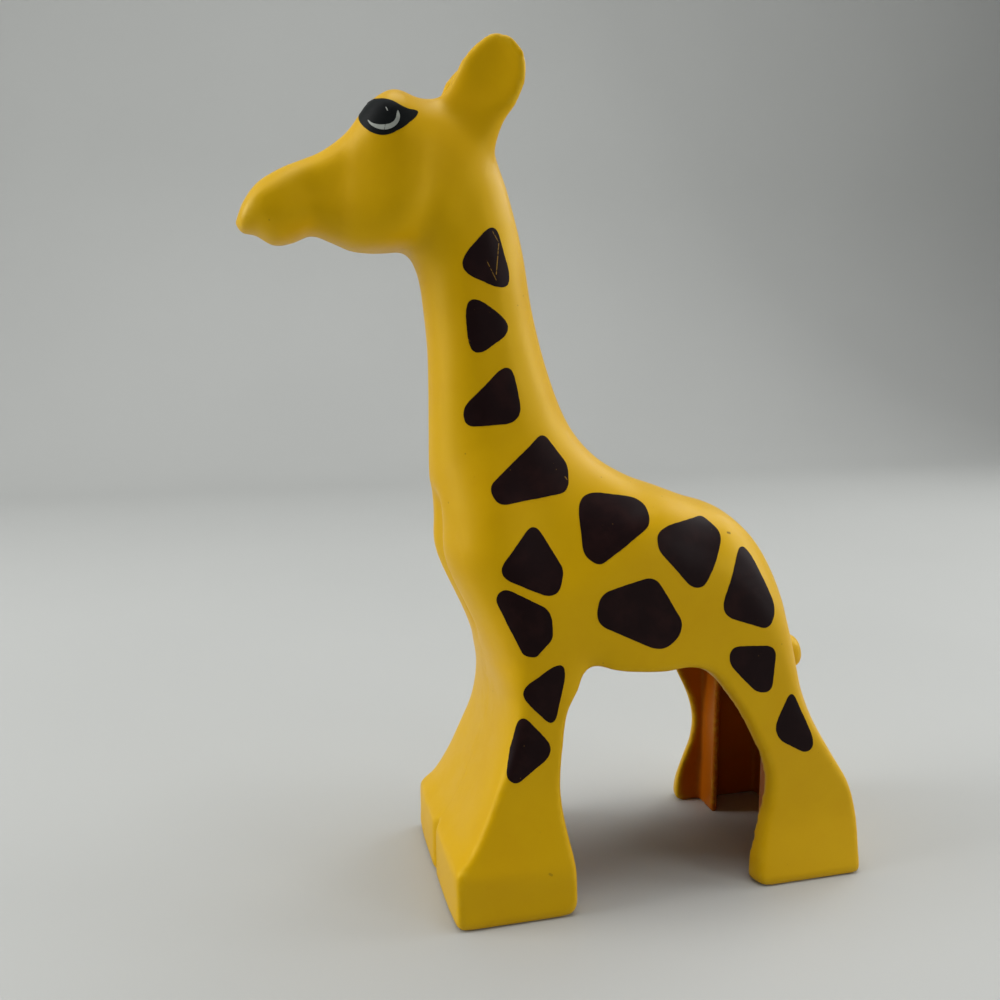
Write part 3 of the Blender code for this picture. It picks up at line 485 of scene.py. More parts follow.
def softened(mesh):
    # Evens out the voxels, lets the roots and the arch's corner flow together, smooths the flank in y only,
    # and puts the soles on the floor
    ends = edgeEnds(mesh)
    everywhere = np.ones(len(mesh.vertices))
    points = relaxed(coordinates(mesh), ends, everywhere, body["evenPasses"])
    points = relaxed(points, ends, everywhere, body["keepingPasses"], back=body["keepingReturn"])
    soft = np.zeros(len(points))
    for x, z, full, none in softPlaces:
        soft = np.maximum(soft, smoothStep(np.hypot(points[:, 0] - x, points[:, 2] - z), none, full))
    points = relaxed(points, ends, soft, softening["passes"])
    x, z = shoulderPoint
    away = np.hypot(points[:, 0] - x, points[:, 2] - z)
    flank = smoothStep(away, softening["flankNone"], softening["flankFull"])
    flank *= smoothStep(np.abs(vertexNormals(mesh)[:, 1]), *softening["facing"])
    points = relaxed(points, ends, flank, softening["flankPasses"], axes=(1,))
    points[:, 2] = np.maximum(points[:, 2], 0)
    moveVertices(mesh, points)


def fullBody():
    # The skin less the channels and the notch, joined with the ears and the tail by voxels
    runs = skinRuns()
    rings = []
    for name, rows in runs.items():
        rings.append(closedRings(rows, spineBlend(len(rows), blendedRibs[name], name != "neck")))
    made = ringSolid("body", rings, [(0, "first"), (1, "last"), (2, "last")])
    reach = legs["footWall"] + legs["socket"]
    steps = body["stepsPerRib"]
    toe, heel = legs["toe"], legs["heel"]
    wallX, finX = toe + legs["footWall"], toe + reach
    cut(made, legChannel("foreChannel", runs["foreleg"][steps:], 2, 0, wallX, finX, legs["foreCeilingRibs"]))
    wallX, finX = heel - legs["footWall"], heel - reach
    hindRows = runs["trunk"][legs["hindFirstRib"] * steps:]
    cut(made, legChannel("hindChannel", hindRows, 0, 2, wallX, finX, legs["hindCeilingRibs"]))
    cut(made, toeCleft())
    extras = [earSolid("earLeft", -1), earSolid("earRight", 1), tailSolid()]
    with opened(made.data) as work:
        for part in extras:
            work.from_mesh(part.data)
    discard(*extras)
    modified(made, "REMESH", mode="VOXEL", voxel_size=body["voxel"])
    softened(made.data)
    return made


def halfOf(whole, name, side):
    # The part of the body on one side of the parting plane, closed by a flat face
    mesh = whole.data.copy()
    mesh.name = name
    plane, out = (0, side * body["partingGap"] / 2, 0), (0, -side, 0)
    with opened(mesh) as work:
        everything = work.verts[:] + work.edges[:] + work.faces[:]
        done = bmesh.ops.bisect_plane(
            work, geom=everything, dist=body["cutDistance"], plane_co=plane, plane_no=out, clear_outer=True)
        edges = [item for item in done["geom_cut"] if isinstance(item, bmesh.types.BMEdge)]
        bmesh.ops.triangle_fill(work, edges=edges, use_beauty=True, normal=out)
        bmesh.ops.recalc_face_normals(work, faces=work.faces)
    mesh.shade_smooth()
    mesh.set_sharp_from_angle(angle=np.radians(body["sharpAngle"]))
    return linked(name, mesh)


whole = fullBody()
halves = {"left": halfOf(whole, "bodyLeft", -1), "right": halfOf(whole, "bodyRight", 1)}
discard(whole)
print("body:", [len(half.data.polygons) for half in halves.values()], "faces")

# Printed ink: thin films that lie on the shells
ink = {
    "outlinePoints": 96, "cornerPoints": 10, "rings": (1.0, 0.985, 0.94, 0.86, 0.76, 0.64, 0.5, 0.34, 0.17),
    "thrownFrom": 25.0, "missedPasses": 20, "raised": 0.035, "film": 0.05, "ragged": 0.03,
    "waves": ((5, 1.0), (9, 0.7), (23, 0.6)), "sharpAngle": 60,
}
# Corners of each spot in side view: x, z, how round
spotCorners = {
    "neck_high": [(-11.16, 96.33, 1.46), (-8.16, 86.32, 2.1), (-17.07, 89.9, 2.49)],
    "neck_middle": [(-15.69, 87.69, 2.2), (-8.21, 82.16, 2.15), (-14.62, 77.72, 1.87)],
    "neck_low": [(-9.07, 78.13, 1.66), (-7.27, 69.35, 2.82), (-15.29, 68.87, 1.34), (-15.79, 71.42, 3.39)],
    "withers": [
        (-4.66, 68.05, 1.25), (-1.27, 63.54, 2.78), (-1.49, 59.83, 1.92), (-11.69, 58.31, 1.81),
        (-12.79, 60.88, 1.61),
    ],
    "back_front": [
        (-0.55, 60.12, 3.11), (9.9, 58.33, 2.66), (9.68, 55.16, 2.41), (1.99, 49.81, 1.36),
        (-0.12, 51.2, 3.06),
    ],
    "back_rear": [
        (18.9, 55.6, 1.87), (21.19, 53.3, 1.64), (17.42, 45.95, 2.15), (15.55, 46.07, 2.2),
        (10.43, 51.73, 2.92), (10.43, 54.78, 4.0),
    ],
    "rump": [(23.95, 53.53, 2.1), (29.08, 42.2, 4.0), (27.64, 39.15, 1.64), (19.72, 41.87, 2.85)],
    "flank": [
        (9.97, 48.17, 2.48), (14.31, 41.2, 2.43), (13.89, 39.06, 3.02), (11.26, 36.99, 3.44),
        (1.31, 41.8, 2.86), (1.96, 46.02, 2.64),
    ],
    "shoulder_high": [
        (-6.78, 56.16, 1.37), (-2.94, 49.53, 1.87), (-3.74, 46.45, 2.19), (-5.38, 45.97, 2.35),
        (-12.66, 49.15, 2.07),
    ],
    "shoulder_low": [
        (-12.55, 45.9, 2.0), (-11.3, 47.46, 1.78), (-4.97, 44.08, 2.62), (-4.75, 40.16, 1.92),
        (-7.14, 37.62, 0.9), (-8.82, 37.89, 1.18),
    ],
    "foreleg_high": [(-2.26, 37.91, 1.8), (-4.56, 27.22, 1.09), (-9.88, 32.79, 2.19)],
    "foreleg_low": [(-9.25, 29.92, 1.07), (-4.07, 23.9, 2.42), (-9.98, 19.62, 1.35), (-11.45, 20.63, 1.14)],
    "thigh": [
        (21.98, 37.06, 1.7), (29.04, 36.71, 1.88), (28.69, 29.74, 1.67), (26.32, 29.59, 3.07),
        (21.51, 34.51, 3.47),
    ],
    "hind_leg": [(31.82, 29.93, 0.98), (36.24, 20.98, 3.91), (34.76, 19.42, 1.7), (28.7, 22.91, 3.26)],
}
# The eye in side view: a black almond up to the head's edge, a pale crescent and a small glint
eye = {
    "almond": [
        (-28.55, 108.85), (-28.24, 109.72), (-27.86, 110.28), (-27.36, 110.70), (-26.75, 110.98),
        (-26.31, 110.84), (-25.62, 110.68), (-25.0, 110.48), (-24.37, 110.18), (-23.71, 109.79),
        (-23.15, 109.55), (-22.55, 109.38), (-21.8, 109.36), (-21.35, 109.2), (-21.49, 108.77),
        (-21.9, 108.24), (-22.53, 107.71), (-22.89, 107.38), (-23.49, 106.95), (-24.17, 106.58),
        (-24.85, 106.25), (-25.51, 106.08), (-26.17, 106.08), (-26.82, 106.25), (-27.45, 106.59),
        (-27.96, 107.06), (-28.34, 107.61), (-28.55, 108.2),
    ],
    "crescentOuter": [
        (-27.62, 108.05), (-27.42, 107.54), (-27.06, 107.16), (-26.59, 106.88), (-26.05, 106.73),
        (-25.51, 106.71), (-24.96, 106.84), (-24.45, 107.13), (-24.05, 107.55), (-23.84, 108.06),
        (-23.82, 108.5), (-24.0, 109.02),
    ],
    "crescentInner": [
        (-27.55, 108.02), (-27.25, 107.69), (-26.79, 107.45), (-26.25, 107.32), (-25.71, 107.31),
        (-25.2, 107.37), (-24.74, 107.57), (-24.44, 107.87), (-24.29, 108.2), (-24.23, 108.5),
        (-24.17, 108.78), (-24.08, 109.0),
    ],
    "glint": [(-25.52, 109.46, 0.05), (-25.4, 109.42, 0.05), (-25.22, 108.98, 0.08), (-25.35, 108.97, 0.05)],
    "overAlmond": 0.04,
    "almondSteps": 8, "almondPoints": 128, "crescentSteps": 6, "crescentRows": 5, "glintPoints": 40,
}


def roundedOutline(corners):
    # Each corner becomes a quadratic curve that leaves both sides at the same distance from it
    places = np.array([corner[:2] for corner in corners], float)
    points = []
    for index, (here, corner) in enumerate(zip(places, corners)):
        back, forth = places[index - 1] - here, places[(index + 1) % len(places)] - here
        backLength, forthLength = np.linalg.norm(back), np.linalg.norm(forth)
        cosine = np.dot(back, forth) / (backLength * forthLength)
        reach = corner[2] / np.tan(np.arccos(np.clip(cosine, -1, 1)) / 2)
        start = here + back * min(reach / backLength, 0.5)
        end = here + forth * min(reach / forthLength, 0.5)
        t = np.linspace(0, 1, ink["cornerPoints"])[:, None]
        points.append(start * (1 - t) ** 2 + here * 2 * t * (1 - t) + end * t**2)
    return np.vstack(points)


def evenlySpaced(outline, count):
    # Points at equal distances along a closed outline
    closed = np.vstack([outline, outline[:1]])
    travelled = np.concatenate([[0], np.cumsum(np.linalg.norm(np.diff(closed, axis=0), axis=1))])
    place = np.linspace(0, travelled[-1], count, endpoint=False)
    return np.column_stack([np.interp(place, travelled, closed[:, axis]) for axis in (0, 1)])


def closedCurve(points, steps):
    # The same cubic as the ribs, run round a closed outline
    points = np.asarray(points, float)
    looped = np.vstack([points, points[:1]])
    return smoothRun(looped, points[-1], points[1], steps)[:-1]


def ragged(outline, seed):
    # Adds sines round the outline, a few hundredths of a millimetre high, as a pad print's edge has
    turn = np.arange(len(outline)) * 2 * np.pi / len(outline)
    phases = np.random.default_rng(seed).uniform(0, 2 * np.pi, len(ink["waves"]))
    wave = sum(height * np.sin(count * turn + phase) for (count, height), phase in zip(ink["waves"], phases))
    outward = outline - outline.mean(axis=0)
    outward /= np.linalg.norm(outward, axis=1, keepdims=True)
    return outline + outward * (wave * ink["ragged"] / 2)[:, None]


def filledSheet(outline):
    # Rings that shrink from the outline to its middle
    middle = outline.mean(axis=0)
    rings = [middle + (outline - middle) * share for share in ink["rings"]]
    count = len(outline)
    last = (len(rings) - 1) * count
    fan = [[last + k, last + (k + 1) % count, last + count] for k in range(count)]
    return np.vstack(rings + [middle]), gridFaces(len(rings), count, True) + fan


def crescentSheet():
    # Straight lines from the outer arc to the inner arc
    outer = smoothRun(eye["crescentOuter"], None, None, eye["crescentSteps"])
    inner = smoothRun(eye["crescentInner"], None, None, eye["crescentSteps"])
    across = np.linspace(0, 1, eye["crescentRows"])[:, None, None]
    grid = outer[None] * (1 - across) + inner[None] * across
    return grid.reshape(-1, 2), gridFaces(eye["crescentRows"], len(outer), False)


def printFilm(name, side, sheet, material, over=0.0):
    # The sheet is thrown onto the half body from the side, lifted off it and given the film's thickness
    flat, faces = sheet
    start = side * ink["thrownFrom"]
    points = np.column_stack([flat[:, 0], np.full(len(flat), start), flat[:, 1]])
    made = makeObject(name, points, faces, closed=False)
    target = halves["left" if side < 0 else "right"]
    modified(
        made, "SHRINKWRAP", wrap_method="PROJECT", use_project_y=True, use_negative_direction=side > 0,
        use_positive_direction=side < 0, target=target)
    # A point past the head's edge lands nowhere, so it takes its depth from beside it
    points, ends = coordinates(made.data), edgeEnds(made.data)
    missed = np.abs(points[:, 1] - start) < weldDistance
    points[missed, 1] = side * np.abs(points[~missed, 1]).min()
    points = relaxed(points, ends, missed.astype(float), ink["missedPasses"], axes=(1,))
    moveVertices(made.data, points)
    modified(
        made, "SHRINKWRAP", wrap_method="NEAREST_SURFACEPOINT", wrap_mode="ABOVE_SURFACE",
        offset=ink["raised"] + over, target=target)
    mesh = made.data
    if gathered(mesh.polygons, "normal", 3)[:, 1].mean() * side < 0:
        mesh.flip_normals()
    modified(made, "SOLIDIFY", thickness=ink["film"], offset=-1.0)
    made.data.shade_smooth()
    made.data.set_sharp_from_angle(angle=np.radians(ink["sharpAngle"]))
    made.data.materials.append(material)
    return made


class Field:
    # A number, colour or vector that varies over a surface. Arithmetic on it adds Math nodes.
    def __init__(self, tree, socket=None):
        self.tree = tree
        self.socket = socket

    def node(self, kind, settings=None, sockets=None, out=0):
        # The settings come first, then the values or links of the sockets
        made = self.tree.nodes.new(kind)
        for name, value in (settings or {}).items():
            setattr(made, name, value)
        for name, value in (sockets or {}).items():
            if isinstance(value, Field):
                self.tree.links.new(value.socket, made.inputs[name])
            else:
                made.inputs[name].default_value = value
        return Field(self.tree, made.outputs[out])

    def math(self, operation, first, second=0.0):
        return self.node("ShaderNodeMath", {"operation": operation}, {0: first, 1: second})

    def least(self, other):
        return self.math("MINIMUM", self, other)

    def most(self, other):
        return self.math("MAXIMUM", self, other)

    def rise(self, low, high):
        # 0 below low, 1 above high, an S curve between. low above high turns it round.
        if low > high:
            return 1 - self.rise(high, low)
        settings = {"interpolation_type": "SMOOTHSTEP"}
        return self.node("ShaderNodeMapRange", settings, {"Value": self, "From Min": low, "From Max": high})

    def noise(self, scale, detail=2.0, roughness=0.5):
        sockets = {"Vector": self, "Scale": scale, "Detail": detail, "Roughness": roughness}
        return self.node("ShaderNodeTexNoise", {}, sockets)

    def lines(self, scales, turn, detail=1.0):
        # Noise drawn out along one axis of the turned place
        place = self.node("ShaderNodeMapping", {}, {"Vector": self, "Rotation": turn, "Scale": scales})
        return place.noise(1.0, detail)

    def attribute(self, name):
        return self.node("ShaderNodeAttribute", {"attribute_name": name}, {}, 2)

    def axes(self):
        parts = self.node("ShaderNodeSeparateXYZ", {}, {"Vector": self})
        outputs = parts.socket.node.outputs
        return [Field(self.tree, outputs[k]) for k in range(3)]

    def mix(self, colour, other):
        # This number blends from the first colour to the second
        return self.node("ShaderNodeMix", {"data_type": "RGBA"}, {0: self, 6: colour, 7: other}, 2)

    def bump(self, strength, distance):
        return self.node("ShaderNodeBump", {}, {"Height": self, "Strength": strength, "Distance": distance})


# Each operator with a field before it, and with the field behind it
operators = {"add": "ADD", "sub": "SUBTRACT", "mul": "MULTIPLY", "truediv": "DIVIDE", "pow": "POWER"}
for word, kind in operators.items():
    setattr(Field, f"__{word}__", lambda self, other, kind=kind: self.math(kind, self, other))
    setattr(Field, f"__r{word}__", lambda self, other, kind=kind: self.math(kind, other, self))


def newFinish(name):
    # A material, its Principled shader and the object coordinates in metres
    material = bpy.data.materials.new(name)
    material.use_nodes = True
    tree = material.node_tree
    shader = tree.nodes["Principled BSDF"]
    place = Field(tree).node("ShaderNodeTexCoord", {}, {}, 3)
    return material, shader, place


def feed(shader, **values):
    # Sets sockets by name with _ for a space: a number straight, a field by a link
    for name, value in values.items():
        socket = shader.inputs[name.replace("_", " ")]
        if isinstance(value, Field):
            value.tree.links.new(value.socket, socket)
        else:
            socket.default_value = value


# The share of a scratch's half width that has its full strength
strokeCore = 0.3
# Only the left side has scratches and marks: they fade in over these values of y
leftSide = {"scratch": (0.0, -0.002), "mark": (0.0, -0.004)}


def stroke(x, z, start, end, width):
    # 1 on a straight line between two side-view points in millimetres, 0 off it, by the distance
    sx, sz, ex, ez = (value * millimetre for value in (*start, *end))
    lengthSquared = (ex - sx) ** 2 + (ez - sz) ** 2
    along = ((x - sx) * (ex - sx) + (z - sz) * (ez - sz)) / lengthSquared
    along = along.most(0.0).least(1.0)
    dx = x - (along * (ex - sx) + sx)
    dz = z - (along * (ez - sz) + sz)
    away = (dx * dx + dz * dz) ** 0.5
    return away.rise(width * millimetre, width * strokeCore * millimetre)


# Depth of the finishes' relief, in metres
bumpDistance = 0.00006
# Noise: scale, detail, roughness. A layer: noise, the S curve that it goes through, and its share.
plastic = {
    "colour": (0.640, 0.370, 0.0010, 1),
    "deeper": (0.570, 0.300, 0.0008, 1),
    "inside": (0.460, 0.110, 0.0006, 1),
    # Painted shade: the orange-red that light bounced inside the leg channels gives their walls
    "worn": (0.700, 0.450, 0.030, 1),
    # Dark colour for the specks and marks, and for the painted shade in the creases
    "grime": (0.100, 0.050, 0.008, 1),
    "ior": 1.53,
    "gloss": 0.40,
    "glossTint": (1.0, 0.80, 0.16, 1),
    "roughness": 0.42,
    "bump": 0.16,
    "cloud": (55.0, 3.0, 0.55),
    "grain": (1500.0, 2.0, 0.5),
    "peel": (330.0, 2.0, 0.4),
    "layers": {
        "cloud": (55.0, 3.0, 0.55, 0.38, 0.70, 0.35),
        "mottle": (420.0, 4.0, 0.6, 0.45, 0.75, 0.12),
        "rub": (900.0, 3.0, 0.6, 0.42, 0.66, 1.0),
        "cluster": (95.0, 2.0, 0.5, 0.55, 0.62, 0.35),
        # Patches of the painted shade in the creases
        "corner": (420.0, 4.0, 0.6, 0.30, 0.70, 0.16),
        "smear": (140.0, 3.0, 0.6, 0.42, 0.66, 0.07),
    },
    "rubShare": 0.30,
    "specks": (430.0, 0.075, 0.040),
    # Darker in patches near the floor: where it has faded out, where it is full, its share
    "nearFloorDarkening": (0.0016, 0.0, 0.20),
    "hairs": [((2600.0, 2600.0, 160.0), (0.3, 0.9, 0.2)), ((150.0, 2400.0, 2400.0), (0.5, 0.2, 0.7))],
    "hairCurve": (0.745, 0.77),
    "roughening": {"rub": 0.12, "hair": 0.08, "dirt": 0.2, "grain": 0.06},
    "relief": {"peel": 0.7, "grain": 0.22, "hair": 0.2},
}
# Small dark marks on the left side, in side view and millimetres: start, end, half width, strength
plasticMarks = [
    ((22.3, 53.1), (22.7, 53.0), 0.20, 0.8),
    ((-5.8, 6.9), (-5.5, 6.7), 0.26, 0.4),
]


def layersOf(place, rows):
    # Noise through an S curve, times its share
    return {name: place.noise(*row[:3]).rise(*row[3:5]) * row[5] for name, row in rows.items()}


def specksOf(place, scale, none, full):
    # Dots round the middles of cells
    return place.node("ShaderNodeTexVoronoi", {}, {"Vector": place, "Scale": scale}).rise(none, full)


def plasticFinish():
    # Cloudy moulded colour, painted orange shade between the legs' walls, paler where edges are rubbed,
    # specks, painted shade in the creases, darker patches near the floor, hairline scratches
    material, shader, place = newFinish("yellowPlastic")
    x, y, z = place.axes()
    layer, roughening, relief = layersOf(place, plastic["layers"]), plastic["roughening"], plastic["relief"]
    colour = (layer["cloud"] + layer["mottle"]).mix(plastic["colour"], plastic["deeper"])
    # Painted shade: the channels' walls turn orange-red
    colour = place.attribute("hollow").mix(colour, plastic["inside"])
    rub = place.attribute("edgeWear") * layer["rub"]
    colour = (rub * plastic["rubShare"]).mix(colour, plastic["worn"])
    specks = specksOf(place, *plastic["specks"]) * layer["cluster"]
    # Real specks, and painted shade darkening the creases
    dirt = specks.most(place.attribute("crease") * layer["corner"])
    # Darker in patches within a couple of millimetres of the floor
    low, high, share = plastic["nearFloorDarkening"]
    dirt = dirt.most(z.rise(low, high) * place.noise(*plastic["cloud"]) * share)
    for start, end, width, strength in plasticMarks:
        dirt = dirt.most(stroke(x, z, start, end, width) * y.rise(*leftSide["mark"]) * strength)
    colour = dirt.mix(colour, plastic["grime"])
    hairOne, hairTwo = (place.lines(*values).rise(*plastic["hairCurve"]) for values in plastic["hairs"])
    hairs = hairOne.most(hairTwo)
    grain = place.noise(*plastic["grain"])
    height = place.noise(*plastic["peel"]) * relief["peel"] + grain * relief["grain"] - hairs * relief["hair"]
    roughness = plastic["roughness"] + layer["smear"] + rub * roughening["rub"] + hairs * roughening["hair"]
    roughness = roughness + dirt * roughening["dirt"] + (grain - 0.5) * roughening["grain"]
    feed(shader, Base_Color=colour, Roughness=roughness, Normal=height.bump(plastic["bump"], bumpDistance))
    feed(shader, IOR=plastic["ior"], Specular_IOR_Level=plastic["gloss"], Specular_Tint=plastic["glossTint"])
    return material


inks = {
    "brown": {
        "colour": (0.0075, 0.0016, 0.0018, 1), "thin": (0.016, 0.0045, 0.0040, 1),
        "bare": (0.40, 0.22, 0.03, 1), "roughness": 0.42, "gloss": 0.08,
    },
    "black": {
        "colour": (0.0040, 0.0050, 0.0052, 1), "thin": (0.008, 0.010, 0.010, 1),
        "bare": (0.30, 0.17, 0.03, 1), "roughness": 0.42, "gloss": 0.07,
    },
    "white": {
        "colour": (0.360, 0.380, 0.340, 1), "thin": (0.220, 0.235, 0.210, 1),
        "bare": (0.020, 0.022, 0.022, 1), "roughness": 0.45, "gloss": 0.3,
    },
}
inkLook = {
    "ior": 1.5,
    "bump": 0.25,
    "cover": (260.0, 4.0, 0.6),
    "fine": (1900.0, 2.0),
    "layers": {
        "cover": (260.0, 4.0, 0.6, 0.42, 0.75, 1.0),
        "cluster": (140.0, 2.0, 0.5, 0.56, 0.62, 0.30),
        "broken": (2600.0, 2.0, 0.5, 0.34, 0.52, 1.0),
    },
    "pores": (900.0, 0.08, 0.05),
    "wipes": ((300.0, 300.0, 1500.0), (0.0, 0.5, 0.3), 3.0),
    "wipeCurve": (0.5, 0.8),
    "roughening": {"cover": 0.10, "wipe": 0.08, "bare": 0.2},
    "relief": {"cover": 0.5, "fine": 0.25, "bare": 0.6},
}
# Scratches through the ink in side view, in millimetres: start, end, half width, strength
brownScratches = [
    ((-11.53, 94.77), (-10.72, 93.5), 0.08, 0.60),
    ((-10.64, 93.25), (-11.07, 89.22), 0.09, 0.75),
    ((-12.43, 91.01), (-11.08, 88.44), 0.07, 0.60),
    ((-15.3, 80.9), (-14.8, 80.4), 0.16, 0.8),
    ((-1.9, 61.9), (-1.6, 61.5), 0.10, 0.6),
]
# The pale print of the crescent is broken once
whiteScratches = [((-25.78, 106.6), (-25.62, 107.4), 0.06, 0.8)]


def inkFinish(name, values, scratches):
    # Nearly even ink, thinner in places, with pores and a few broken scratches
    material, shader, place = newFinish(name)
    x, y, z = place.axes()
    layer, roughening, relief = layersOf(place, inkLook["layers"]), inkLook["roughening"], inkLook["relief"]
    cover = place.noise(*inkLook["cover"])
    colour = layer["cover"].mix(values["colour"], values["thin"])
    bare = specksOf(place, *inkLook["pores"]) * layer["cluster"]
    for start, end, width, strength in scratches:
        onLine = stroke(x, z, start, end, width) * layer["broken"] * y.rise(*leftSide["scratch"])
        bare = bare.most(onLine * strength)
    colour = bare.mix(colour, values["bare"])
    wipe = place.lines(*inkLook["wipes"]).rise(*inkLook["wipeCurve"])
    roughness = values["roughness"] + cover * roughening["cover"]
    roughness = roughness + wipe * roughening["wipe"] + bare * roughening["bare"]
    height = cover * relief["cover"] + place.noise(*inkLook["fine"]) * relief["fine"] - bare * relief["bare"]
    feed(shader, Base_Color=colour, Roughness=roughness, Normal=height.bump(inkLook["bump"], bumpDistance))
    feed(shader, IOR=inkLook["ior"], Specular_IOR_Level=values["gloss"])
    return material


# Worn edges and painted shade in the creases: passes that find the bend, the clean strip at the seam, curves
wearAndCreaseShade = {"standPasses": 6, "evenPasses": 8, "seam": 0.2, "edge": (0.018, 0.068), "crease": (0.010, 0.040)}
# Where the painted orange shade of the channels' walls starts and is full, and how far a face may look
# outwards
channelShade = {
    "fromMouth": (0.2, 1.6), "fromWall": (0.8, 1.2), "deep": (3.4, 4.2), "outward": (0.5, 0.2),
    "pastInnerWall": (0.5, 0.2), "height": (33.0, 29.0), "hindFirstRib": 5,
}


def bendOf(mesh):
    # How far each vertex stands out from its neighbours' mean along its normal, evened out
    points, ends = coordinates(mesh), edgeEnds(mesh)
    everywhere = np.ones(len(points))
    stand = points - relaxed(points, ends, everywhere, wearAndCreaseShade["standPasses"])
    stand = (stand * vertexNormals(mesh)).sum(axis=1)
    return relaxed(stand[:, None], ends, everywhere, wearAndCreaseShade["evenPasses"], axes=(0,))[:, 0]


def storeField(mesh, name, values):
    # One number per vertex, for the shaders
    attribute = mesh.attributes.new(name, "FLOAT", "POINT")
    attribute.data.foreach_set("value", values.astype(np.float32))


def shadeBetweenWalls(mesh, ribs, wallSide, openSide):
    # 1 inside a leg channel, 0 on the outer skin: the mask of the channels' painted orange shade. It grows
    # inwards from the channel's open side, and near the closed side it leaves out what faces outwards.
    x, y, z = coordinates(mesh).T
    normals = vertexNormals(mesh)
    ribs = np.array(ribs)[::-1]
    mouth = np.interp(z, ribs[:, openSide + 1], ribs[:, openSide])
    wall = np.interp(z, ribs[:, wallSide + 1], ribs[:, wallSide])
    away = np.sign(wall - mouth)
    half = np.interp(z, ribs[:, openSide + 1], ribs[:, 4])
    inner = np.minimum(half - legs["wall"], legs["soleHalfWidth"] - legs["footWall"])
    outward = np.maximum(normals[:, 0] * away, normals[:, 1] * np.sign(y))
    fromMouth, fromWall = (x - mouth) * away, (wall - x) * away
    ends = channelShade
    inwards = smoothStep(fromMouth, *ends["fromMouth"]) * smoothStep(fromWall, *ends["fromWall"])
    inwards *= np.maximum(smoothStep(outward, *ends["outward"]), smoothStep(fromWall, *ends["deep"]))
    inwards *= smoothStep(np.abs(y) - inner, *ends["pastInnerWall"])
    return inwards * smoothStep(z, *ends["height"])


for half in halves.values():
    bend = bendOf(half.data)
    # Where the channels' painted orange shade goes
    fore = shadeBetweenWalls(half.data, forelegRibs, 2, 0)
    hind = shadeBetweenWalls(half.data, trunkRibs[channelShade["hindFirstRib"]:], 0, 2)
    storeField(half.data, "hollow", np.maximum(fore, hind))
    onSeam = np.abs(coordinates(half.data)[:, 1]) < wearAndCreaseShade["seam"]
    storeField(half.data, "edgeWear", np.where(onSeam, 0, smoothStep(bend, *wearAndCreaseShade["edge"])))
    # Painted shade in the creases
    storeField(half.data, "crease", np.where(onSeam, 0, smoothStep(-bend, *wearAndCreaseShade["crease"])))
yellow = plasticFinish()
brown = inkFinish("brownInk", inks["brown"], brownScratches)
black = inkFinish("blackInk", inks["black"], [])
white = inkFinish("whiteInk", inks["white"], whiteScratches)
print("finishes made")


def keep(made, slot, *nodes):
    # From millimetres to metres, then onto the CAD body in place of its nodes
    made.data.transform(Matrix.Scale(millimetre, 4))
    made.data.update()
    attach(made, "root")
    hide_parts(*nodes)


def camel(words):
    # neck_high becomes neckHigh
    first, *others = words.split("_")
    return first + "".join(word.capitalize() for word in others)


films = []
for side, label in ((-1, "left"), (1, "right")):
    tag = label.capitalize()
    for number, (name, corners) in enumerate(spotCorners.items()):
        outline = evenlySpaced(roundedOutline(corners), ink["outlinePoints"])
        film = printFilm(camel(name) + "Spot" + tag, side, filledSheet(ragged(outline, number)), brown)
        films.append((film, "brown_ink", f"{label}_spot_{name}"))
    almond = evenlySpaced(closedCurve(eye["almond"], eye["almondSteps"]), eye["almondPoints"])
    films.append((printFilm("eye" + tag, side, filledSheet(almond), black), "black_ink", f"{label}_eye"))
    over = eye["overAlmond"]
    crescent = printFilm("eyeCrescent" + tag, side, crescentSheet(), white, over)
    films.append((crescent, "white_ink", f"{label}_eye_crescent"))
    glint = filledSheet(evenlySpaced(roundedOutline(eye["glint"]), eye["glintPoints"]))
    films.append((printFilm("eyeGlint" + tag, side, glint, white, over), "white_ink", None))
for label, half in halves.items():
    half.data.materials.append(yellow)
    keep(half, "yellow_plastic", f"{label}_shell")
for film, slot, node in films:
    keep(film, slot, *([node] if node else []))
print("ink films:", len(films))

# Floor, lights and camera
sweep = {
    "halfWidth": 1.6, "front": -0.9, "bend": 0.42, "bendRadius": 0.22, "height": 1.6, "turnPoints": 25,
    "columns": 9, "colour": (0.46, 0.47, 0.455, 1), "darkening": 0.95, "noise": (9.0, 3.0),
    "curve": (0.3, 0.7), "share": 0.35, "roughness": 0.6, "gloss": 0.25,
}
world = {"colour": (0.97, 0.98, 1.0, 1), "strength": 0.10, "seenStrength": 0.42}
figureMiddle = (0.0, 0.0, 0.06)
# Round soft lamps: place, where each is aimed, power, width
lamps = {
    "leftLamp": ((-0.60, 0.06, 0.24), (0.0, 0.0, 0.04), 2.35, 0.34),
    "leftHighLamp": ((-0.40, 0.10, 0.42), figureMiddle, 0.55, 0.35),
    "topLamp": ((0.0, 0.02, 0.60), figureMiddle, 1.20, 0.50),
    "rightBackLamp": ((0.45, 0.22, 0.36), figureMiddle, 0.70, 0.30),
    "rightLamp": ((0.60, -0.07, 0.25), figureMiddle, 1.25, 0.30),
    "lowLamp": ((0.36, -0.36, 0.12), (0.01, 0.0, 0.03), 0.60, 0.20),
    "wallLamp": ((0.1, 0.05, 1.30), (0.15, 0.64, 0.30), 5.0, 1.00),
}
camera = {
    "place": (-0.04215, -0.1334, 0.0793), "yaw": 14.0, "pitch": 9.0, "roll": -0.17, "lens": 34.243,
    "sensor": 36.0, "near": 0.01, "far": 20.0,
}


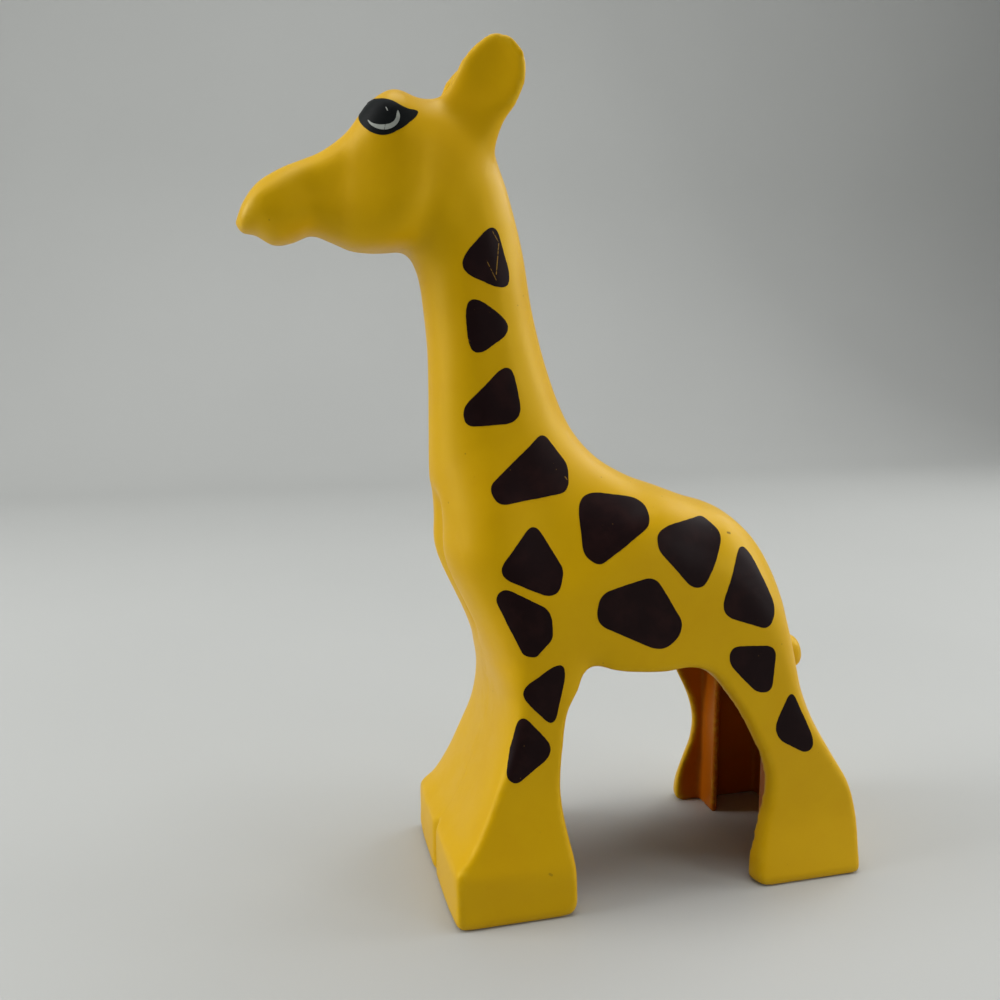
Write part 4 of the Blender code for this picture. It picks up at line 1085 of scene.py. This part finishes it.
def sweepFloor():
    # Profile in y and z, carried along x: flat, a quarter turn up, upright
    turn = np.linspace(0, np.pi / 2, sweep["turnPoints"])
    bend, radius, columns = sweep["bend"], sweep["bendRadius"], sweep["columns"]
    y = np.concatenate([[sweep["front"]], bend + radius * np.sin(turn), [bend + radius]])
    z = np.concatenate([[0.0], radius * (1 - np.cos(turn)), [sweep["height"]]])
    x = np.linspace(-sweep["halfWidth"], sweep["halfWidth"], columns)
    grid = np.stack([*np.meshgrid(x, y), np.broadcast_to(z[:, None], (len(z), columns))], axis=-1)
    mesh = bpy.data.meshes.new("floor")
    mesh.from_pydata(grid.reshape(-1, 3).tolist(), [], gridFaces(len(y), columns, False))
    mesh.shade_smooth()
    made = linked("floor", mesh)
    material, shader, place = newFinish("paleFloor")
    tone = place.noise(*sweep["noise"]).rise(*sweep["curve"])
    darker = tuple(part * sweep["darkening"] for part in sweep["colour"][:3]) + (1,)
    colour = (tone * sweep["share"]).mix(sweep["colour"], darker)
    feed(shader, Base_Color=colour, Roughness=sweep["roughness"], Specular_IOR_Level=sweep["gloss"])
    made.data.materials.append(material)


def turnedTo(right, up, back, place):
    # The matrix whose axes are right, up and back, at this place
    turned = np.eye(4)
    turned[:3, 0], turned[:3, 1], turned[:3, 2], turned[:3, 3] = right, up, back, place
    return Matrix(turned.tolist())


def areaLamp(name, place, aim, power, width):
    # A disk that shines from its place towards its aim, kept level
    data = bpy.data.lights.new(name, "AREA")
    data.energy = power
    data.shape = "DISK"
    data.size = width
    made = linked(name, data)
    back = np.subtract(place, aim)
    back /= np.linalg.norm(back)
    right = np.cross((0, 0, 1), back)
    right /= np.linalg.norm(right)
    made.matrix_world = turnedTo(right, np.cross(back, right), back, place)


def photoCamera():
    # Yaw turns from +Y towards +X, pitch looks down, roll tilts about the view line
    yaw, pitch, roll = (np.radians(camera[key]) for key in ("yaw", "pitch", "roll"))
    ahead = np.array([np.sin(yaw) * np.cos(pitch), np.cos(yaw) * np.cos(pitch), -np.sin(pitch)])
    level = np.array([np.cos(yaw), -np.sin(yaw), 0])
    above = np.cross(level, ahead)
    right = np.cos(roll) * level + np.sin(roll) * above
    up = -np.sin(roll) * level + np.cos(roll) * above
    data = bpy.data.cameras.new("photoCamera")
    data.lens = camera["lens"]
    data.sensor_width = camera["sensor"]
    data.clip_start = camera["near"]
    data.clip_end = camera["far"]
    made = linked("photoCamera", data)
    made.matrix_world = turnedTo(right, up, -ahead, camera["place"])
    bpy.context.scene.camera = made


sweepFloor()
for name, values in lamps.items():
    areaLamp(name, *values)
room = bpy.data.worlds.new("softRoom")
bpy.context.scene.world = room
room.use_nodes = True
seen = Field(room.node_tree).node("ShaderNodeLightPath", {}, {}, "Is Camera Ray")
for ray in ("Is Glossy Ray", "Is Transmission Ray"):
    seen = seen.most(Field(room.node_tree).node("ShaderNodeLightPath", {}, {}, ray))
lit = world["strength"] + seen * (world["seenStrength"] - world["strength"])
feed(room.node_tree.nodes["Background"], Color=world["colour"], Strength=lit)
photoCamera()
bpy.context.scene.view_settings.view_transform = "Standard"
print("floor, light and camera set")
